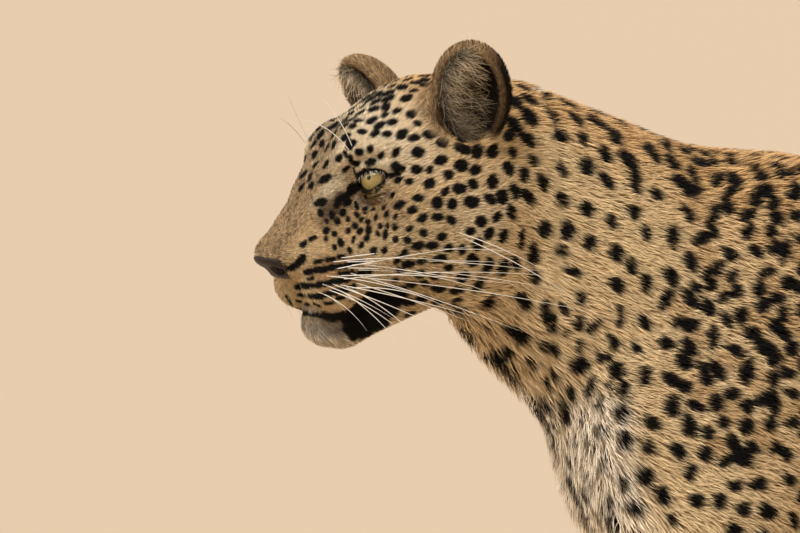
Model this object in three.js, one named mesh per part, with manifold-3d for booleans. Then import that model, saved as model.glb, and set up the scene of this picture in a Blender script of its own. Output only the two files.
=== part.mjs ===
// A life-size leopard standing on four paws, its left foreleg forward and its head turned a little to its left.
// Sizes are millimetres. It faces -X, its left side is towards -Y, +Z is up and its paws stand on z = 0.
// The body is one smooth form blended from muscle and bone masses, and thin cuts part it into named pieces.
import * as THREE from 'three';
import { mergeVertices } from 'three/addons/utils/BufferGeometryUtils.js';
import Module from 'manifold-3d';

const wasm = await Module();
wasm.setup();

// Driving sizes
const GAP = 0.3;                        // clearance left by every cut
const HEAD_TURN = 15;                   // degrees that the head is turned to the left
const NOSE = [-692, -86, 577];          // foremost point of the nose
const EYE = { at: [96, 33, 65], radius: 15.5, turn: 28 };
const FORE_STANCE = { left: -80, right: 26 };   // how far each paw stands behind its rest place
const HIND_STANCE = { left: -42, right: 36 };
const ELBOW = [-240, 90, 366];
const WRIST = [-266, 80, 112];
const HIP = [300, 66, 548];
const KNEE = [222, 92, 388];
const HOCK = [386, 82, 205];
const PAD_SINK = 3;                     // how far the pads are pressed flat by the floor

// Vector helpers on plain [x, y, z] arrays
const sum = (a, b) => [a[0] + b[0], a[1] + b[1], a[2] + b[2]];
const minus = (a, b) => [a[0] - b[0], a[1] - b[1], a[2] - b[2]];
const scaled = (a, s) => [a[0] * s, a[1] * s, a[2] * s];
const dot = (a, b) => a[0] * b[0] + a[1] * b[1] + a[2] * b[2];
const unit = (a) => scaled(a, 1 / Math.hypot(...a));
const radians = THREE.MathUtils.degToRad;

// Joins two distances with a fillet of width k, and its opposite, which cuts b out of a
function blend(a, b, k) {
  const h = Math.max(k - Math.abs(a - b), 0) / k;
  return Math.min(a, b) - (h * h * k) / 4;
}
const carve = (a, b, k) => -blend(-a, b, k);

// An ellipsoid mass. tilt leans its top towards +x, in degrees, and paired repeats it on the other side.
function mass(at, radii, k, { tilt = 0, paired = false } = {}) {
  const [ct, st] = [Math.cos(radians(tilt)), Math.sin(radians(tilt))];
  return {
    k,
    distance([px, py, pz]) {
      const x0 = px - at[0];
      const y = (paired ? Math.abs(py) : py) - at[1];
      const z0 = pz - at[2];
      const x = x0 * ct - z0 * st;
      const z = x0 * st + z0 * ct;
      const near = Math.hypot(x / radii[0], y / radii[1], z / radii[2]);
      const steep = Math.hypot(x / radii[0] ** 2, y / radii[1] ** 2, z / radii[2] ** 2);
      return steep < 1e-9 ? -Math.min(...radii) : (near * (near - 1)) / steep;
    },
  };
}

// A tapered limb with round ends between two points. flat under 1 thins it sideways.
function limb(from, to, r0, r1, k, { flat = 1, paired = false } = {}) {
  const axis = [to[0] - from[0], (to[1] - from[1]) / flat, to[2] - from[2]];
  const length2 = dot(axis, axis);
  const fall = r0 - r1;
  const a2 = length2 - fall * fall;
  return {
    k,
    distance(p) {
      const y = (paired ? Math.abs(p[1]) : p[1]) - from[1];
      const v = [p[0] - from[0], y / flat, p[2] - from[2]];
      const along = dot(v, axis);
      const beyond = along - length2;
      const side = minus(scaled(v, length2), scaled(axis, along));
      const x2 = dot(side, side);
      const y2 = along * along * length2;
      const z2 = beyond * beyond * length2;
      const slope = Math.sign(fall) * fall * fall * x2;
      if (Math.sign(beyond) * a2 * z2 > slope) return Math.sqrt(x2 + z2) / length2 - r1;
      if (Math.sign(along) * a2 * y2 < slope) return Math.sqrt(x2 + y2) / length2 - r0;
      return (Math.sqrt((x2 * a2) / length2) + along * fall) / length2 - r0;
    },
  };
}

const joined = (pieces, p) => pieces.reduce((d, m) => blend(d, m.distance(p), m.k), 1e3);
const paired = true;

// Trunk: rib cage, breast, shoulders, loin, belly, croup and rump
const TRUNK = [
  mass([-80, 0, 482], [250, 119, 142], 40, { tilt: 2 }),
  mass([-300, 0, 452], [114, 86, 126], 70, { tilt: 4 }),
  mass([-346, 0, 388], [54, 54, 66], 40),
  mass([-235, 0, 578], [90, 46, 58], 60),
  mass([-232, 56, 538], [74, 44, 106], 60, { tilt: 17, paired }),
  mass([-318, 62, 440], [70, 44, 84], 55, { tilt: -10, paired }),
  mass([-238, 78, 428], [88, 42, 94], 60, { tilt: -14, paired }),
  mass([120, 0, 522], [225, 98, 102], 80),
  mass([80, 0, 448], [185, 84, 76], 70, { tilt: 6 }),
  mass([288, 0, 554], [126, 84, 84], 70),
  mass([346, 46, 516], [62, 50, 84], 55, { tilt: 12, paired }),
];

// Neck: a deep column from the shoulders to the back of the skull, with the throat under it
const NECK = [
  limb([-268, 0, 535], [-470, -26, 636], 98, 84, 70, { flat: 0.8 }),
  limb([-345, -2, 462], [-505, -40, 566], 54, 38, 60, { flat: 0.95 }),
  mass([-395, -14, 560], [92, 72, 100], 50, { tilt: -22 }),
];

// One side's leg masses. side is -1 on the left, and shift is the stance of its paw.
function foreleg(side, shift) {
  const elbow = sum(ELBOW, [shift * 0.75, 0, 0]);
  const wrist = sum(WRIST, [shift, 0, 0]);
  const on = (p) => [p[0], p[1] * side, p[2]];
  return [
    limb(on(sum(elbow, [-46, -14, 64])), on(sum(elbow, [-4, 0, -16])), 62, 50, 40, { flat: 0.7 }),
    mass(on(sum(elbow, [-36, -12, 12])), [54, 36, 88], 34, { tilt: -5 }),
    limb(on(elbow), on(wrist), 50, 31, 34, { flat: 0.86 }),
    mass(on(sum(elbow, [-4, 0, -56])), [50, 39, 84], 22, { tilt: 5 }),
    mass(on(sum(elbow, [36, 2, 4])), [22, 20, 26], 18, { tilt: -30 }),
    mass(on(sum(wrist, [-3, 0, 4])), [34, 32, 28], 12),
    limb(on(wrist), on(sum(wrist, [-22, -4, -66])), 31, 31, 14),
    ...paw(on(sum(wrist, [-30, -6, -WRIST[2]])), 45, side),
  ];
}

function hindLeg(side, shift) {
  const hock = sum(HOCK, [shift, 0, 0]);
  const knee = sum(KNEE, [shift * 0.4, 0, 0]);
  const on = (p) => [p[0], p[1] * side, p[2]];
  const ankle = sum(hock, [-34, 2, -150]);
  return [
    limb(on(HIP), on(knee), 90, 54, 64, { flat: 0.58 }),
    limb(on(sum(HIP, [46, -4, -30])), on(sum(HIP, [-2, 12, -156])), 58, 50, 40, { flat: 0.64 }),
    limb(on(knee), on(hock), 50, 24, 30, { flat: 0.8 }),
    mass(on(sum(knee, [58, -2, -48])), [62, 32, 56], 26, { tilt: -42 }),
    mass(on(sum(hock, [12, 0, 6])), [21, 19, 32], 14, { tilt: 20 }),
    limb(on(hock), on(ankle), 27, 25, 14, { flat: 0.9 }),
    ...paw(on(sum(ankle, [-20, 0, -(HOCK[2] - 150)])), 40, side),
  ];
}

// A paw with a heel pad and four toes spread over its width
function paw([x, y, z], halfWidth, side) {
  const toes = [-1, -0.36, 0.36, 1].map((across) => {
    const back = 13 * across * across;
    const knuckle = [x - 22 + back, y + across * halfWidth * 0.58, z + 34];
    const tip = [x - 52 + back, y + across * halfWidth * 0.7, z + 13.5 - PAD_SINK];
    return limb(knuckle, tip, 15, 13.5, 7);
  });
  return [
    mass([x + 4, y, z + 27], [42, halfWidth * 0.86, 30], 16),
    mass([x + 8, y, z + 15 - PAD_SINK], [27, halfWidth * 0.62, 15], 8),
    ...toes,
  ];
}

// The tail hangs from the rump, bends back above the floor and curls up at its tip
const TAIL = new THREE.CatmullRomCurve3([
  new THREE.Vector3(372, 0, 590),
  new THREE.Vector3(440, 4, 548),
  new THREE.Vector3(498, 16, 450),
  new THREE.Vector3(536, 30, 330),
  new THREE.Vector3(592, 40, 222),
  new THREE.Vector3(676, 40, 168),
  new THREE.Vector3(756, 30, 190),
  new THREE.Vector3(796, 16, 262),
]);
const TAIL_STEPS = 28;
const tailRadius = (t) => 34 - 14 * t + 5 * Math.sin(Math.PI * t) ** 2;
const TAIL_LINKS = Array.from({ length: TAIL_STEPS }, (_, i) => {
  const [t0, t1] = [i / TAIL_STEPS, (i + 1) / TAIL_STEPS];
  const [from, to] = [TAIL.getPointAt(t0).toArray(), TAIL.getPointAt(t1).toArray()];
  return limb(from, to, tailRadius(t0), tailRadius(t1), i ? 10 : 40);
});

// Head masses, in the head's own frame: distance behind the nose, distance to its right, height above the nose
const SKULL = [
  mass([158, 0, 80], [70, 62, 68], 30),
  mass([118, 0, 82], [50, 46, 36], 30),
  mass([145, 42, 72], [46, 28, 44], 26, { paired }),
  limb([30, 5, 8], [66, 8, 54], 19.5, 20.5, 16, { paired }),
  limb([66, 8, 54], [84, 14, 90], 20, 21, 14, { paired }),
  mass([21, 0, 5], [19.5, 20, 17], 10),
  mass([70, 20, 4], [41, 26, 34], 20, { paired }),
  mass([87, 31, 86], [24, 17, 13], 20, { tilt: -16, paired }),
  mass([135, 50, 21], [52, 33, 42], 30, { paired }),
  mass([128, 38, 2], [48, 30, 34], 26, { paired }),
  mass([170, 44, 30], [46, 36, 62], 34, { paired }),
  mass([60.5, 23, -20], [28, 25, 23], 9, { paired }),
];
const JAW = [
  mass([69, 0, -51], [22, 22, 17], 10),
  limb([76, 13, -51], [136, 43, -16], 19, 23, 18, { paired }),
];

// Ears: cups set on the sides of the crown. lean is the way up an ear's axis, and face is the way it opens,
// in degrees outwards from straight ahead.
const EAR_ROOT = [158, 60, 96];
const EARS = {
  left: { side: -1, lean: [-0.12, 0.36, 0.93], face: 40 },
  right: { side: 1, lean: [-0.15, 0.78, 0.57], face: 26 },
};
const EAR_CUP = mass([-9, 0, 37], [25, 34, 46], 1);
const EAR_HOLLOW = mass([0, 0, 37], [21, 26, 38], 1);

// The placing of an ear in the head's frame: its opening along x, its width along y and its height along z
function earFrame({ side, lean, face }) {
  const up = new THREE.Vector3(lean[0], lean[1] * side, lean[2]).normalize();
  const front = new THREE.Vector3(-Math.cos(radians(face)), Math.sin(radians(face)) * side, 0)
    .projectOnPlane(up).normalize();
  const across = new THREE.Vector3().crossVectors(up, front);
  return new THREE.Matrix4().makeBasis(front, across, up)
    .setPosition(EAR_ROOT[0], EAR_ROOT[1] * side, EAR_ROOT[2]);
}
const into = (matrix, [x, y, z]) => {
  const e = matrix.elements;
  const v = [x - e[12], y - e[13], z - e[14]];
  return [0, 4, 8].map((c) => v[0] * e[c] + v[1] * e[c + 1] + v[2] * e[c + 2]);
};
const out = (matrix, p) => new THREE.Vector3(...p).applyMatrix4(matrix).toArray();
const turned = (matrix, v) => new THREE.Vector3(...v).transformDirection(matrix).toArray();
const EAR_FRAMES = Object.fromEntries(Object.entries(EARS).map(([name, ear]) => [name, earFrame(ear)]));

// The front of the nose leather slopes back to the lip along this hollow
const MUZZLE_END = limb([-6, -40, -28], [-6, 40, -28], 28, 28, 4);

// Each eye lies in a shallow orbit that opens along its gaze, under lids this thick
const LID = 2.6;
const GAZE = [-Math.cos(radians(EYE.turn)), Math.sin(radians(EYE.turn)), 0];
const ORBIT = limb(sum(EYE.at, scaled(GAZE, 15)), sum(EYE.at, scaled(GAZE, 60)), 13, 26, 16, { paired });
function headField(p) {
  let d = blend(joined(SKULL, p), joined(JAW, p), 8);
  d = carve(d, ORBIT.distance(p), ORBIT.k);
  d = carve(d, MUZZLE_END.distance(p), MUZZLE_END.k);
  const fromEye = Math.hypot(...minus([p[0], Math.abs(p[1]), p[2]], EYE.at));
  d = blend(d, fromEye - EYE.radius - LID, 8);
  Object.values(EAR_FRAMES).forEach((frame) => {
    const local = into(frame, p);
    const cup = carve(EAR_CUP.distance(local), -3 + local[2] * 0.05 - local[0], 9);
    d = carve(blend(d, cup, 12), EAR_HOLLOW.distance(local), 9);
  });
  return d;
}

// The placing of the head on the body
const HEAD_FRAME = new THREE.Matrix4().makeRotationZ(radians(HEAD_TURN)).setPosition(...NOSE);
const HEAD = { k: 34, distance: (p) => headField(into(HEAD_FRAME, p)) };

const LEGS = [
  ...foreleg(-1, FORE_STANCE.left),
  ...foreleg(1, FORE_STANCE.right),
  ...hindLeg(-1, HIND_STANCE.left),
  ...hindLeg(1, HIND_STANCE.right),
];

// The whole animal inside a box, negative within the flesh and positive outside it
function bodyIn(low, high) {
  const centre = scaled(sum(low, high), 0.5);
  const span = Math.hypot(...minus(high, low)) / 2;
  const near = (m) => m.distance(centre) < span + m.k + 60;
  const masses = [...TRUNK, ...NECK, HEAD, ...LEGS, ...TAIL_LINKS].filter(near);
  return (p) => joined(masses, p);
}

// Corner sets of a grid cell that one vertex can't stand for: split inside, split outside, or a crossed face
const CORNERS = [0, 1, 2, 3, 4, 5, 6, 7];
function isSplit(mask, wanted) {
  const members = CORNERS.filter((c) => ((mask >> c) & 1) === wanted);
  if (!members.length) return false;
  const reached = new Set([members[0]]);
  for (const c of reached)
    for (const bit of [1, 2, 4])
      if (((mask >> (c ^ bit)) & 1) === wanted) reached.add(c ^ bit);
  return reached.size !== members.length;
}
function hasCrossedFace(mask) {
  const at = (c) => (mask >> c) & 1;
  return [[1, 2, 4], [2, 4, 1], [1, 4, 2]].some(([u, v, w]) => [0, w].some((base) => {
    const [a, b, c, d] = [base, base + u, base + u + v, base + v].map(at);
    return a === c && b === d && a !== b;
  }));
}
const UNCLEAR = Array.from({ length: 256 }, (_, mask) =>
  isSplit(mask, 0) || isSplit(mask, 1) || hasCrossedFace(mask));

// Grid positions from the first stop to the last, each stop giving a place and the step used after it
function ruler(...stops) {
  const marks = [stops[0][0]];
  for (let n = 0; n + 1 < stops.length; n++) {
    const [from, step] = stops[n];
    const count = Math.max(1, Math.round((stops[n + 1][0] - from) / step));
    for (let i = 1; i <= count; i++) marks.push(from + ((stops[n + 1][0] - from) * i) / count);
  }
  return marks;
}
const box = (low, high, steps) => low.map((v, a) => ruler([v, steps[a]], [high[a]]));

// The value given to the outermost layer of a grid, which always lies outside the surface
const EDGE = 1e4;

// A closed mesh of a field on a grid given by three rulers, with its vertices drawn onto the surface
function surfaceOf(field, rulers) {
  const [nx, ny, nz] = rulers.map((r) => r.length);
  const stride = [1, nx, nx * ny];
  const value = new Float64Array(nx * ny * nz);
  const index = (i, j, k) => i + j * stride[1] + k * stride[2];
  for (let k = 0; k < nz; k++)
    for (let j = 0; j < ny; j++)
      for (let i = 0; i < nx; i++) {
        const edge = !i || !j || !k || i === nx - 1 || j === ny - 1 || k === nz - 1;
        const d = field([rulers[0][i], rulers[1][j], rulers[2][k]]);
        value[index(i, j, k)] = edge ? EDGE : d || 1e-6;
      }
  const cornerOf = (cell, c) => cell + (c & 1) + ((c >> 1) & 1) * stride[1] + (c >> 2) * stride[2];
  const maskOf = (cell) => CORNERS.reduce((m, c) => m | ((value[cornerOf(cell, c)] < 0) << c), 0);
  const cells = [];
  for (let k = 0; k < nz - 1; k++)
    for (let j = 0; j < ny - 1; j++)
      for (let i = 0; i < nx - 1; i++) cells.push([i, j, k]);

  // Fill the nearest free corner of every unclear cell until none is left
  for (let again = true; again;) {
    again = false;
    for (const [i, j, k] of cells) {
      const cell = index(i, j, k);
      if (!UNCLEAR[maskOf(cell)]) continue;
      const corners = CORNERS.map((c) => cornerOf(cell, c));
      const free = corners.filter((n) => value[n] > 0 && value[n] < EDGE);
      if (free.length) value[free.reduce((a, b) => (value[a] < value[b] ? a : b))] = -1e-3;
      else corners.filter((n) => value[n] < 0).forEach((n) => { value[n] = 1e-3; });
      again = true;
    }
  }

  const vertexOf = new Map();
  const positions = [];
  for (const [i, j, k] of cells) {
    const cell = index(i, j, k);
    const mask = maskOf(cell);
    if (mask === 0 || mask === 255) continue;
    const mean = [0, 0, 0];
    let crossings = 0;
    for (const c of CORNERS)
      [1, 2, 4].forEach((bit, axis) => {
        if (c & bit || ((mask >> c) & 1) === ((mask >> (c | bit)) & 1)) return;
        const [a, b] = [c, c | bit].map((n) => Math.min(value[cornerOf(cell, n)], 8));
        const part = [c & 1, (c >> 1) & 1, c >> 2];
        part[axis] = a / (a - b);
        part.forEach((s, n) => { mean[n] += s; });
        crossings++;
      });
    const sides = [i, j, k].map((n, a) => rulers[a][n + 1] - rulers[a][n]);
    const start = [i, j, k].map((n, a) => rulers[a][n] + (mean[a] / crossings) * sides[a]);
    vertexOf.set(cell, positions.length / 3);
    positions.push(...drawnOnto(field, start, Math.min(...sides) * 0.45));
  }

  const triangles = [];
  const gapBetween = (a, b) => Math.hypot(...[0, 1, 2].map((n) => positions[3 * a + n] - positions[3 * b + n]));
  for (const [i, j, k] of cells)
    for (let axis = 0; axis < 3; axis++) {
      const [u, v] = [(axis + 1) % 3, (axis + 2) % 3];
      const at = [i, j, k];
      if (!at[u] || !at[v]) continue;
      const here = index(i, j, k);
      const [a, b] = [value[here] < 0, value[here + stride[axis]] < 0];
      if (a === b) continue;
      const ring = [here - stride[u] - stride[v], here - stride[v], here, here - stride[u]];
      const [p, q, r, s] = ring.map((cell) => vertexOf.get(cell));
      const quad = a ? [p, q, r, s] : [s, r, q, p];
      if (gapBetween(quad[0], quad[2]) < gapBetween(quad[1], quad[3]))
        triangles.push(quad[0], quad[1], quad[2], quad[0], quad[2], quad[3]);
      else triangles.push(quad[1], quad[2], quad[3], quad[1], quad[3], quad[0]);
    }
  return new wasm.Manifold(new wasm.Mesh({
    numProp: 3,
    vertProperties: new Float32Array(positions),
    triVerts: new Uint32Array(triangles),
  }));
}

// Moves a point along the field's slope towards its surface, by no more than reach
function drawnOnto(field, start, reach) {
  const h = 0.5;
  let p = start;
  for (let turn = 0; turn < 3; turn++) {
    const d = field(p);
    const slope = [0, 1, 2].map((a) => {
      const [plus, less] = [[...p], [...p]];
      plus[a] += h;
      less[a] -= h;
      return (field(plus) - field(less)) / (2 * h);
    });
    const size2 = dot(slope, slope) || 1;
    p = minus(p, scaled(slope, d / size2));
    const moved = minus(p, start);
    const far = Math.hypot(...moved);
    if (far > reach) p = sum(start, scaled(moved, reach / far));
  }
  return p;
}

// A closed three.js geometry as a manifold solid, set in place by a matrix
function solidOf(geometry, matrix = new THREE.Matrix4()) {
  const bare = (geometry.index ? geometry.toNonIndexed() : geometry.clone()).applyMatrix4(matrix);
  bare.deleteAttribute('normal');
  bare.deleteAttribute('uv');
  const closed = mergeVertices(bare, 1e-4);
  return new wasm.Manifold(new wasm.Mesh({
    numProp: 3,
    vertProperties: closed.attributes.position.array,
    triVerts: new Uint32Array(closed.index.array),
  }));
}

// A closed tube along a curve. thickness gives its radius at each t from 0 to 1, and each end comes to a point.
function cord(points, thickness, steps = 24, sides = 6) {
  const curve = new THREE.CatmullRomCurve3(points.map((p) => new THREE.Vector3(...p)));
  const { normals, binormals } = curve.computeFrenetFrames(steps, false);
  const corners = [];
  for (let i = 0; i <= steps; i++) {
    const centre = curve.getPointAt(i / steps);
    for (let n = 0; n < sides; n++) {
      const angle = (2 * Math.PI * n) / sides;
      const spoke = normals[i].clone().multiplyScalar(Math.cos(angle))
        .addScaledVector(binormals[i], Math.sin(angle));
      corners.push(...centre.clone().addScaledVector(spoke, thickness(i / steps)));
    }
  }
  const tips = [0, 1].map((t) => {
    const tip = curve.getPointAt(t).addScaledVector(curve.getTangentAt(t), (t - 0.5) * thickness(t));
    return corners.push(...tip) / 3 - 1;
  });
  const faces = [];
  for (let n = 0; n < sides; n++) {
    const next = (n + 1) % sides;
    const last = steps * sides;
    faces.push(tips[0], next, n, tips[1], last + n, last + next);
    for (let i = 0; i < steps; i++) {
      const [a, b] = [i * sides + n, i * sides + next];
      faces.push(a, b, b + sides, a, b + sides, a + sides);
    }
  }
  const geometry = new THREE.BufferGeometry();
  geometry.setAttribute('position', new THREE.Float32BufferAttribute(corners, 3));
  geometry.setIndex(faces);
  return solidOf(geometry);
}

// Everything more than half a gap beyond a plane, as one large block
const REACH = 3000;
function beyond(point, normal, margin = GAP / 2) {
  const direction = new THREE.Vector3(...unit(normal));
  const centre = new THREE.Vector3(...point).addScaledVector(direction, REACH / 2 + margin);
  const turn = new THREE.Quaternion().setFromUnitVectors(new THREE.Vector3(0, 0, 1), direction);
  const matrix = new THREE.Matrix4().compose(centre, turn, new THREE.Vector3(1, 1, 1));
  return solidOf(new THREE.BoxGeometry(REACH, REACH, REACH), matrix);
}
const before = (point, normal) => beyond(point, scaled(normal, -1));
const largest = (solid) => solid.decompose().reduce((a, b) => (a.volume() > b.volume() ? a : b));

// The cuts between pieces: a point on each plane and the direction that leads further from the trunk
const CUT = {
  neck: [[-352, -4, 560], [-0.94, -0.1, 0.34]],
  head: [out(HEAD_FRAME, [196, 0, 40]), turned(HEAD_FRAME, [-0.92, 0, 0.38])],
  foreleg: [[0, 0, 322], [0, 0, -1]],
  forepaw: [[0, 0, 92], [0, 0, -1]],
  thigh: [[290, 0, 432], [0.33, 0, -1]],
  shank: [[250, 0, 338], [0.3, 0, -1]],
  foot: [[0, 0, 178], [0, 0, -1]],
  hindPaw: [[0, 0, 66], [0, 0, -1]],
  tail: [[430, 0, 0], [1, 0, 0]],
};
const tailCut = (t) => [TAIL.getPointAt(t).toArray(), TAIL.getTangentAt(t).toArray()];
CUT.tailMiddle = tailCut(0.4);
CUT.tailEnd = tailCut(0.72);
const past = (cut) => beyond(...cut);
const short = (cut) => before(...cut);

// A piece of the body: its surface at its own fineness, kept only inside every given block
function piece(low, high, steps, blocks) {
  const whole = surfaceOf(bodyIn(low, high), box(low, high, steps));
  return largest(blocks.reduce((solid, block) => solid.intersect(block), whole));
}

// The plane through the foot of one ear, level with the crown around it
const EAR_CUT = { normal: [-0.1, 0.64, 0.76], foot: 15 };
function earCut(side) {
  const normal = unit([EAR_CUT.normal[0], EAR_CUT.normal[1] * side, EAR_CUT.normal[2]]);
  return [sum([EAR_ROOT[0], EAR_ROOT[1] * side, EAR_ROOT[2]], scaled(normal, EAR_CUT.foot)), normal];
}

// An eye's own frame: outwards along x, up along y and its gaze along z
function eyeFrame(side) {
  const turn = radians(EYE.turn) * side;
  const gaze = new THREE.Vector3(-Math.cos(turn), Math.sin(turn), 0);
  const up = new THREE.Vector3(0, 0, 1);
  const across = new THREE.Vector3().crossVectors(up, gaze);
  return new THREE.Matrix4().makeBasis(across, up, gaze).setPosition(EYE.at[0], EYE.at[1] * side, EYE.at[2]);
}

// The almond between the lids. Its outer corner is the higher one, and outer is the sign of x it lies on.
const ALMOND = { half: 14, upper: 9, lower: 7.5, lift: 3.6 };
function almond(outer, steps = 10) {
  const rim = (from, to, height) => Array.from({ length: steps }, (_, i) => {
    const x = from + ((to - from) * i) / steps;
    const arch = (1 - (x / ALMOND.half) ** 2) ** 0.8;
    return new THREE.Vector2(x, height * arch + (ALMOND.lift * x * outer) / ALMOND.half);
  });
  return [...rim(-ALMOND.half, ALMOND.half, -ALMOND.lower), ...rim(ALMOND.half, -ALMOND.half, ALMOND.upper)];
}

// Lids with a rounded rim around the almond, and the socket behind them
function withLids(head, side) {
  const frame = eyeFrame(side);
  const outline = almond(-side);
  const window = new THREE.ExtrudeGeometry(new THREE.Shape(outline), { depth: 30, bevelEnabled: false });
  const onLid = EYE.radius + 1.4;
  const rim = new THREE.CatmullRomCurve3(
    outline.map(({ x, y }) => new THREE.Vector3(x, y, Math.sqrt(onLid ** 2 - x * x - y * y))),
    true,
  );
  return head
    .subtract(solidOf(window.translate(0, 0, 3), frame))
    .add(solidOf(new THREE.TubeGeometry(rim, 28, 1.5, 5, true), frame))
    .subtract(solidOf(eyeball(EYE.radius + GAP), frame));
}
const eyeball = (radius) => new THREE.SphereGeometry(radius, 16, 8);

// The nose leather: a shield seen from the front, cut out of the muzzle's end
const SHIELD = [[-19, 3], [-10, 5], [0, 5.5], [10, 5], [19, 3], [20, -3], [13, -12], [5, -17], [3, -26],
  [-3, -26], [-5, -17], [-13, -12], [-20, -3]];
function shieldBlock(margin) {
  const outline = SHIELD.map(([y, z]) => new THREE.Vector2(y, z));
  const grown = outline.map((p, i) => {
    const before = outline[(i + outline.length - 1) % outline.length];
    const after = outline[(i + 1) % outline.length];
    const run = after.clone().sub(before).normalize();
    return p.clone().add(new THREE.Vector2(run.y, -run.x).multiplyScalar(-margin));
  });
  const prism = new THREE.ExtrudeGeometry(new THREE.Shape(grown), { depth: 60, bevelEnabled: false });
  const facing = new THREE.Matrix4().makeBasis(
    new THREE.Vector3(0, 1, 0), new THREE.Vector3(0, 0, 1), new THREE.Vector3(1, 0, 0));
  return solidOf(prism.translate(0, 0, -32 + margin), facing);
}

// Each nostril: a round opening inside and a slit that runs up and back around the wing
function nostril(side) {
  const path = [[12, 9, -9], [14, 14, -8], [21, 20, -5], [28, 23, 1]].map(([x, y, z]) => [x, y * side, z]);
  const opening = new THREE.SphereGeometry(1, 8, 5).scale(9, 5.4, 4.8).translate(13, 10.5 * side, -7.5);
  return solidOf(opening).add(cord(path, (t) => 2 - t, 6, 5));
}

// The mouth: a line from the middle of the lip to each corner, where the lower jaw parts from the head
const LIP_LINE = [[27, 0, -30], [36, 7, -38], [46, 14, -43], [57, 25, -45.5], [66, 31, -43], [78, 36.5, -35.5],
  [88, 43.5, -28.5], [97, 56, -22]];
const JAW_BACK = [[120, -20], [146, -90]];
function lipGroove(side) {
  return cord(LIP_LINE.map(([x, y, z]) => [x, y * side, z]), (t) => 3 - 1.5 * t, 16, 5);
}
function jawKerf() {
  const line = [[-20, -36], ...LIP_LINE.map(([x, , z]) => [x, z]), ...JAW_BACK];
  const sheet = [
    ...line.map(([x, z]) => new THREE.Vector2(x, z - GAP / 2)),
    ...line.toReversed().map(([x, z]) => new THREE.Vector2(x + GAP / 2, z + GAP / 2)),
  ];
  const upright = new THREE.Matrix4().makeRotationX(Math.PI / 2);
  const strip = new THREE.ExtrudeGeometry(new THREE.Shape(sheet), { depth: 240, bevelEnabled: false });
  return solidOf(strip.translate(0, 0, -120), upright);
}

function headPieces() {
  const centre = out(HEAD_FRAME, [118, 0, 45]);
  const nearby = bodyIn(minus(centre, [140, 120, 140]), sum(centre, [140, 120, 140]));
  const field = (p) => nearby(out(HEAD_FRAME, p));
  const rulers = [
    ruler([-10, 9], [92, 23], [262]),
    ruler([-108, 18], [-54, 8.8], [54, 18], [108]),
    ruler([-92, 9.1], [80, 20], [172]),
  ];
  const cut = beyond([196, 0, 40], [-0.92, 0, 0.38]);
  let head = surfaceOf(field, rulers).intersect(cut);
  Object.values(EARS).forEach(({ side }) => { head = head.intersect(short(earCut(side))); });
  const nose = head.intersect(shieldBlock(0));
  head = head.subtract(shieldBlock(GAP));
  [-1, 1].forEach((side) => {
    head = withLids(head, side).subtract(nostril(side)).subtract(lipGroove(side));
  });
  const parts = head.subtract(jawKerf()).decompose().sort((a, b) => b.volume() - a.volume());
  const made = { head: parts[0], lower_jaw: parts[1] };
  made.nose_pad = largest(nose.subtract(nostril(-1)).subtract(nostril(1)));
  Object.entries(EARS).forEach(([name, { side }]) => {
    const frame = EAR_FRAMES[name];
    const cup = surfaceOf((p) => field(out(frame, p)), box([-42, -46, -12], [22, 46, 92], [7, 7, 9]));
    made[`ear_${name}`] = largest(cup.transform(frame.elements).intersect(past(earCut(side))));
    made[`eye_${name}`] = solidOf(eyeball(EYE.radius), eyeFrame(side));
  });
  return Object.fromEntries(Object.entries(made).map(([name, solid]) => [name, solid.transform(HEAD_FRAME.elements)]));
}

// The room of one leg below its cut, which leaves the middle of the belly and breast to the trunk
const INSIDE = 26;
const legRoom = (cut, side, edge, margin = GAP / 2) => [
  beyond(...cut, margin),
  beyond([0, side * INSIDE, 0], [0, side, 0], margin),
  beyond(...edge, margin),
].reduce((a, b) => a.intersect(b));
const FORE_EDGE = [[-120, 0, 0], [-1, 0, 0]];
const HIND_EDGE = [[150, 0, 0], [1, 0, 0]];

function trunkPieces() {
  const whole = piece([-470, -170, 290], [470, 170, 690], [39, 30, 32], [short(CUT.neck), short(CUT.tail)]);
  const torso = [-1, 1].reduce((solid, side) => solid
    .subtract(legRoom(CUT.foreleg, side, FORE_EDGE, -GAP / 2))
    .subtract(legRoom(CUT.thigh, side, HIND_EDGE, -GAP / 2)), whole);
  const neck = piece([-620, -150, 380], [-290, 130, 760], [28, 25, 25], [past(CUT.neck), short(CUT.head)]);
  return { torso: largest(torso), neck };
}

function legPieces() {
  const made = {};
  const ground = beyond([0, 0, 0], [0, 0, 1], 0);
  [['left', -1], ['right', 1]].forEach(([name, side]) => {
    const [y0, y1] = side < 0 ? [-160, 0] : [0, 160];
    const fore = FORE_STANCE[name];
    const hind = HIND_STANCE[name];
    const hindRoom = legRoom(CUT.thigh, side, HIND_EDGE);
    made[`foreleg_${name}`] = piece([-350 + fore, y0, 60], [-150, y1, 360], [17, 17, 28],
      [legRoom(CUT.foreleg, side, FORE_EDGE), short(CUT.forepaw)]);
    made[`forepaw_${name}`] = piece([-380 + fore, y0, -20], [-200 + fore, y1, 120], [14, 12.5, 13.5],
      [past(CUT.forepaw), ground]);
    made[`thigh_${name}`] = piece([130, y0, 290], [460, y1, 560], [26, 22, 26], [hindRoom, short(CUT.shank)]);
    made[`shank_${name}`] = piece([130, y0, 150], [480, y1, 440], [19, 18, 25],
      [hindRoom, past(CUT.shank), short(CUT.foot)]);
    made[`hind_foot_${name}`] = piece([320 + hind, y0, 40], [450 + hind, y1, 210], [14, 14, 22],
      [past(CUT.foot), short(CUT.hindPaw)]);
    made[`hind_paw_${name}`] = piece([250 + hind, y0, -20], [410 + hind, y1, 90], [14, 12.5, 13.5],
      [past(CUT.hindPaw), ground]);
  });
  return made;
}

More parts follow.
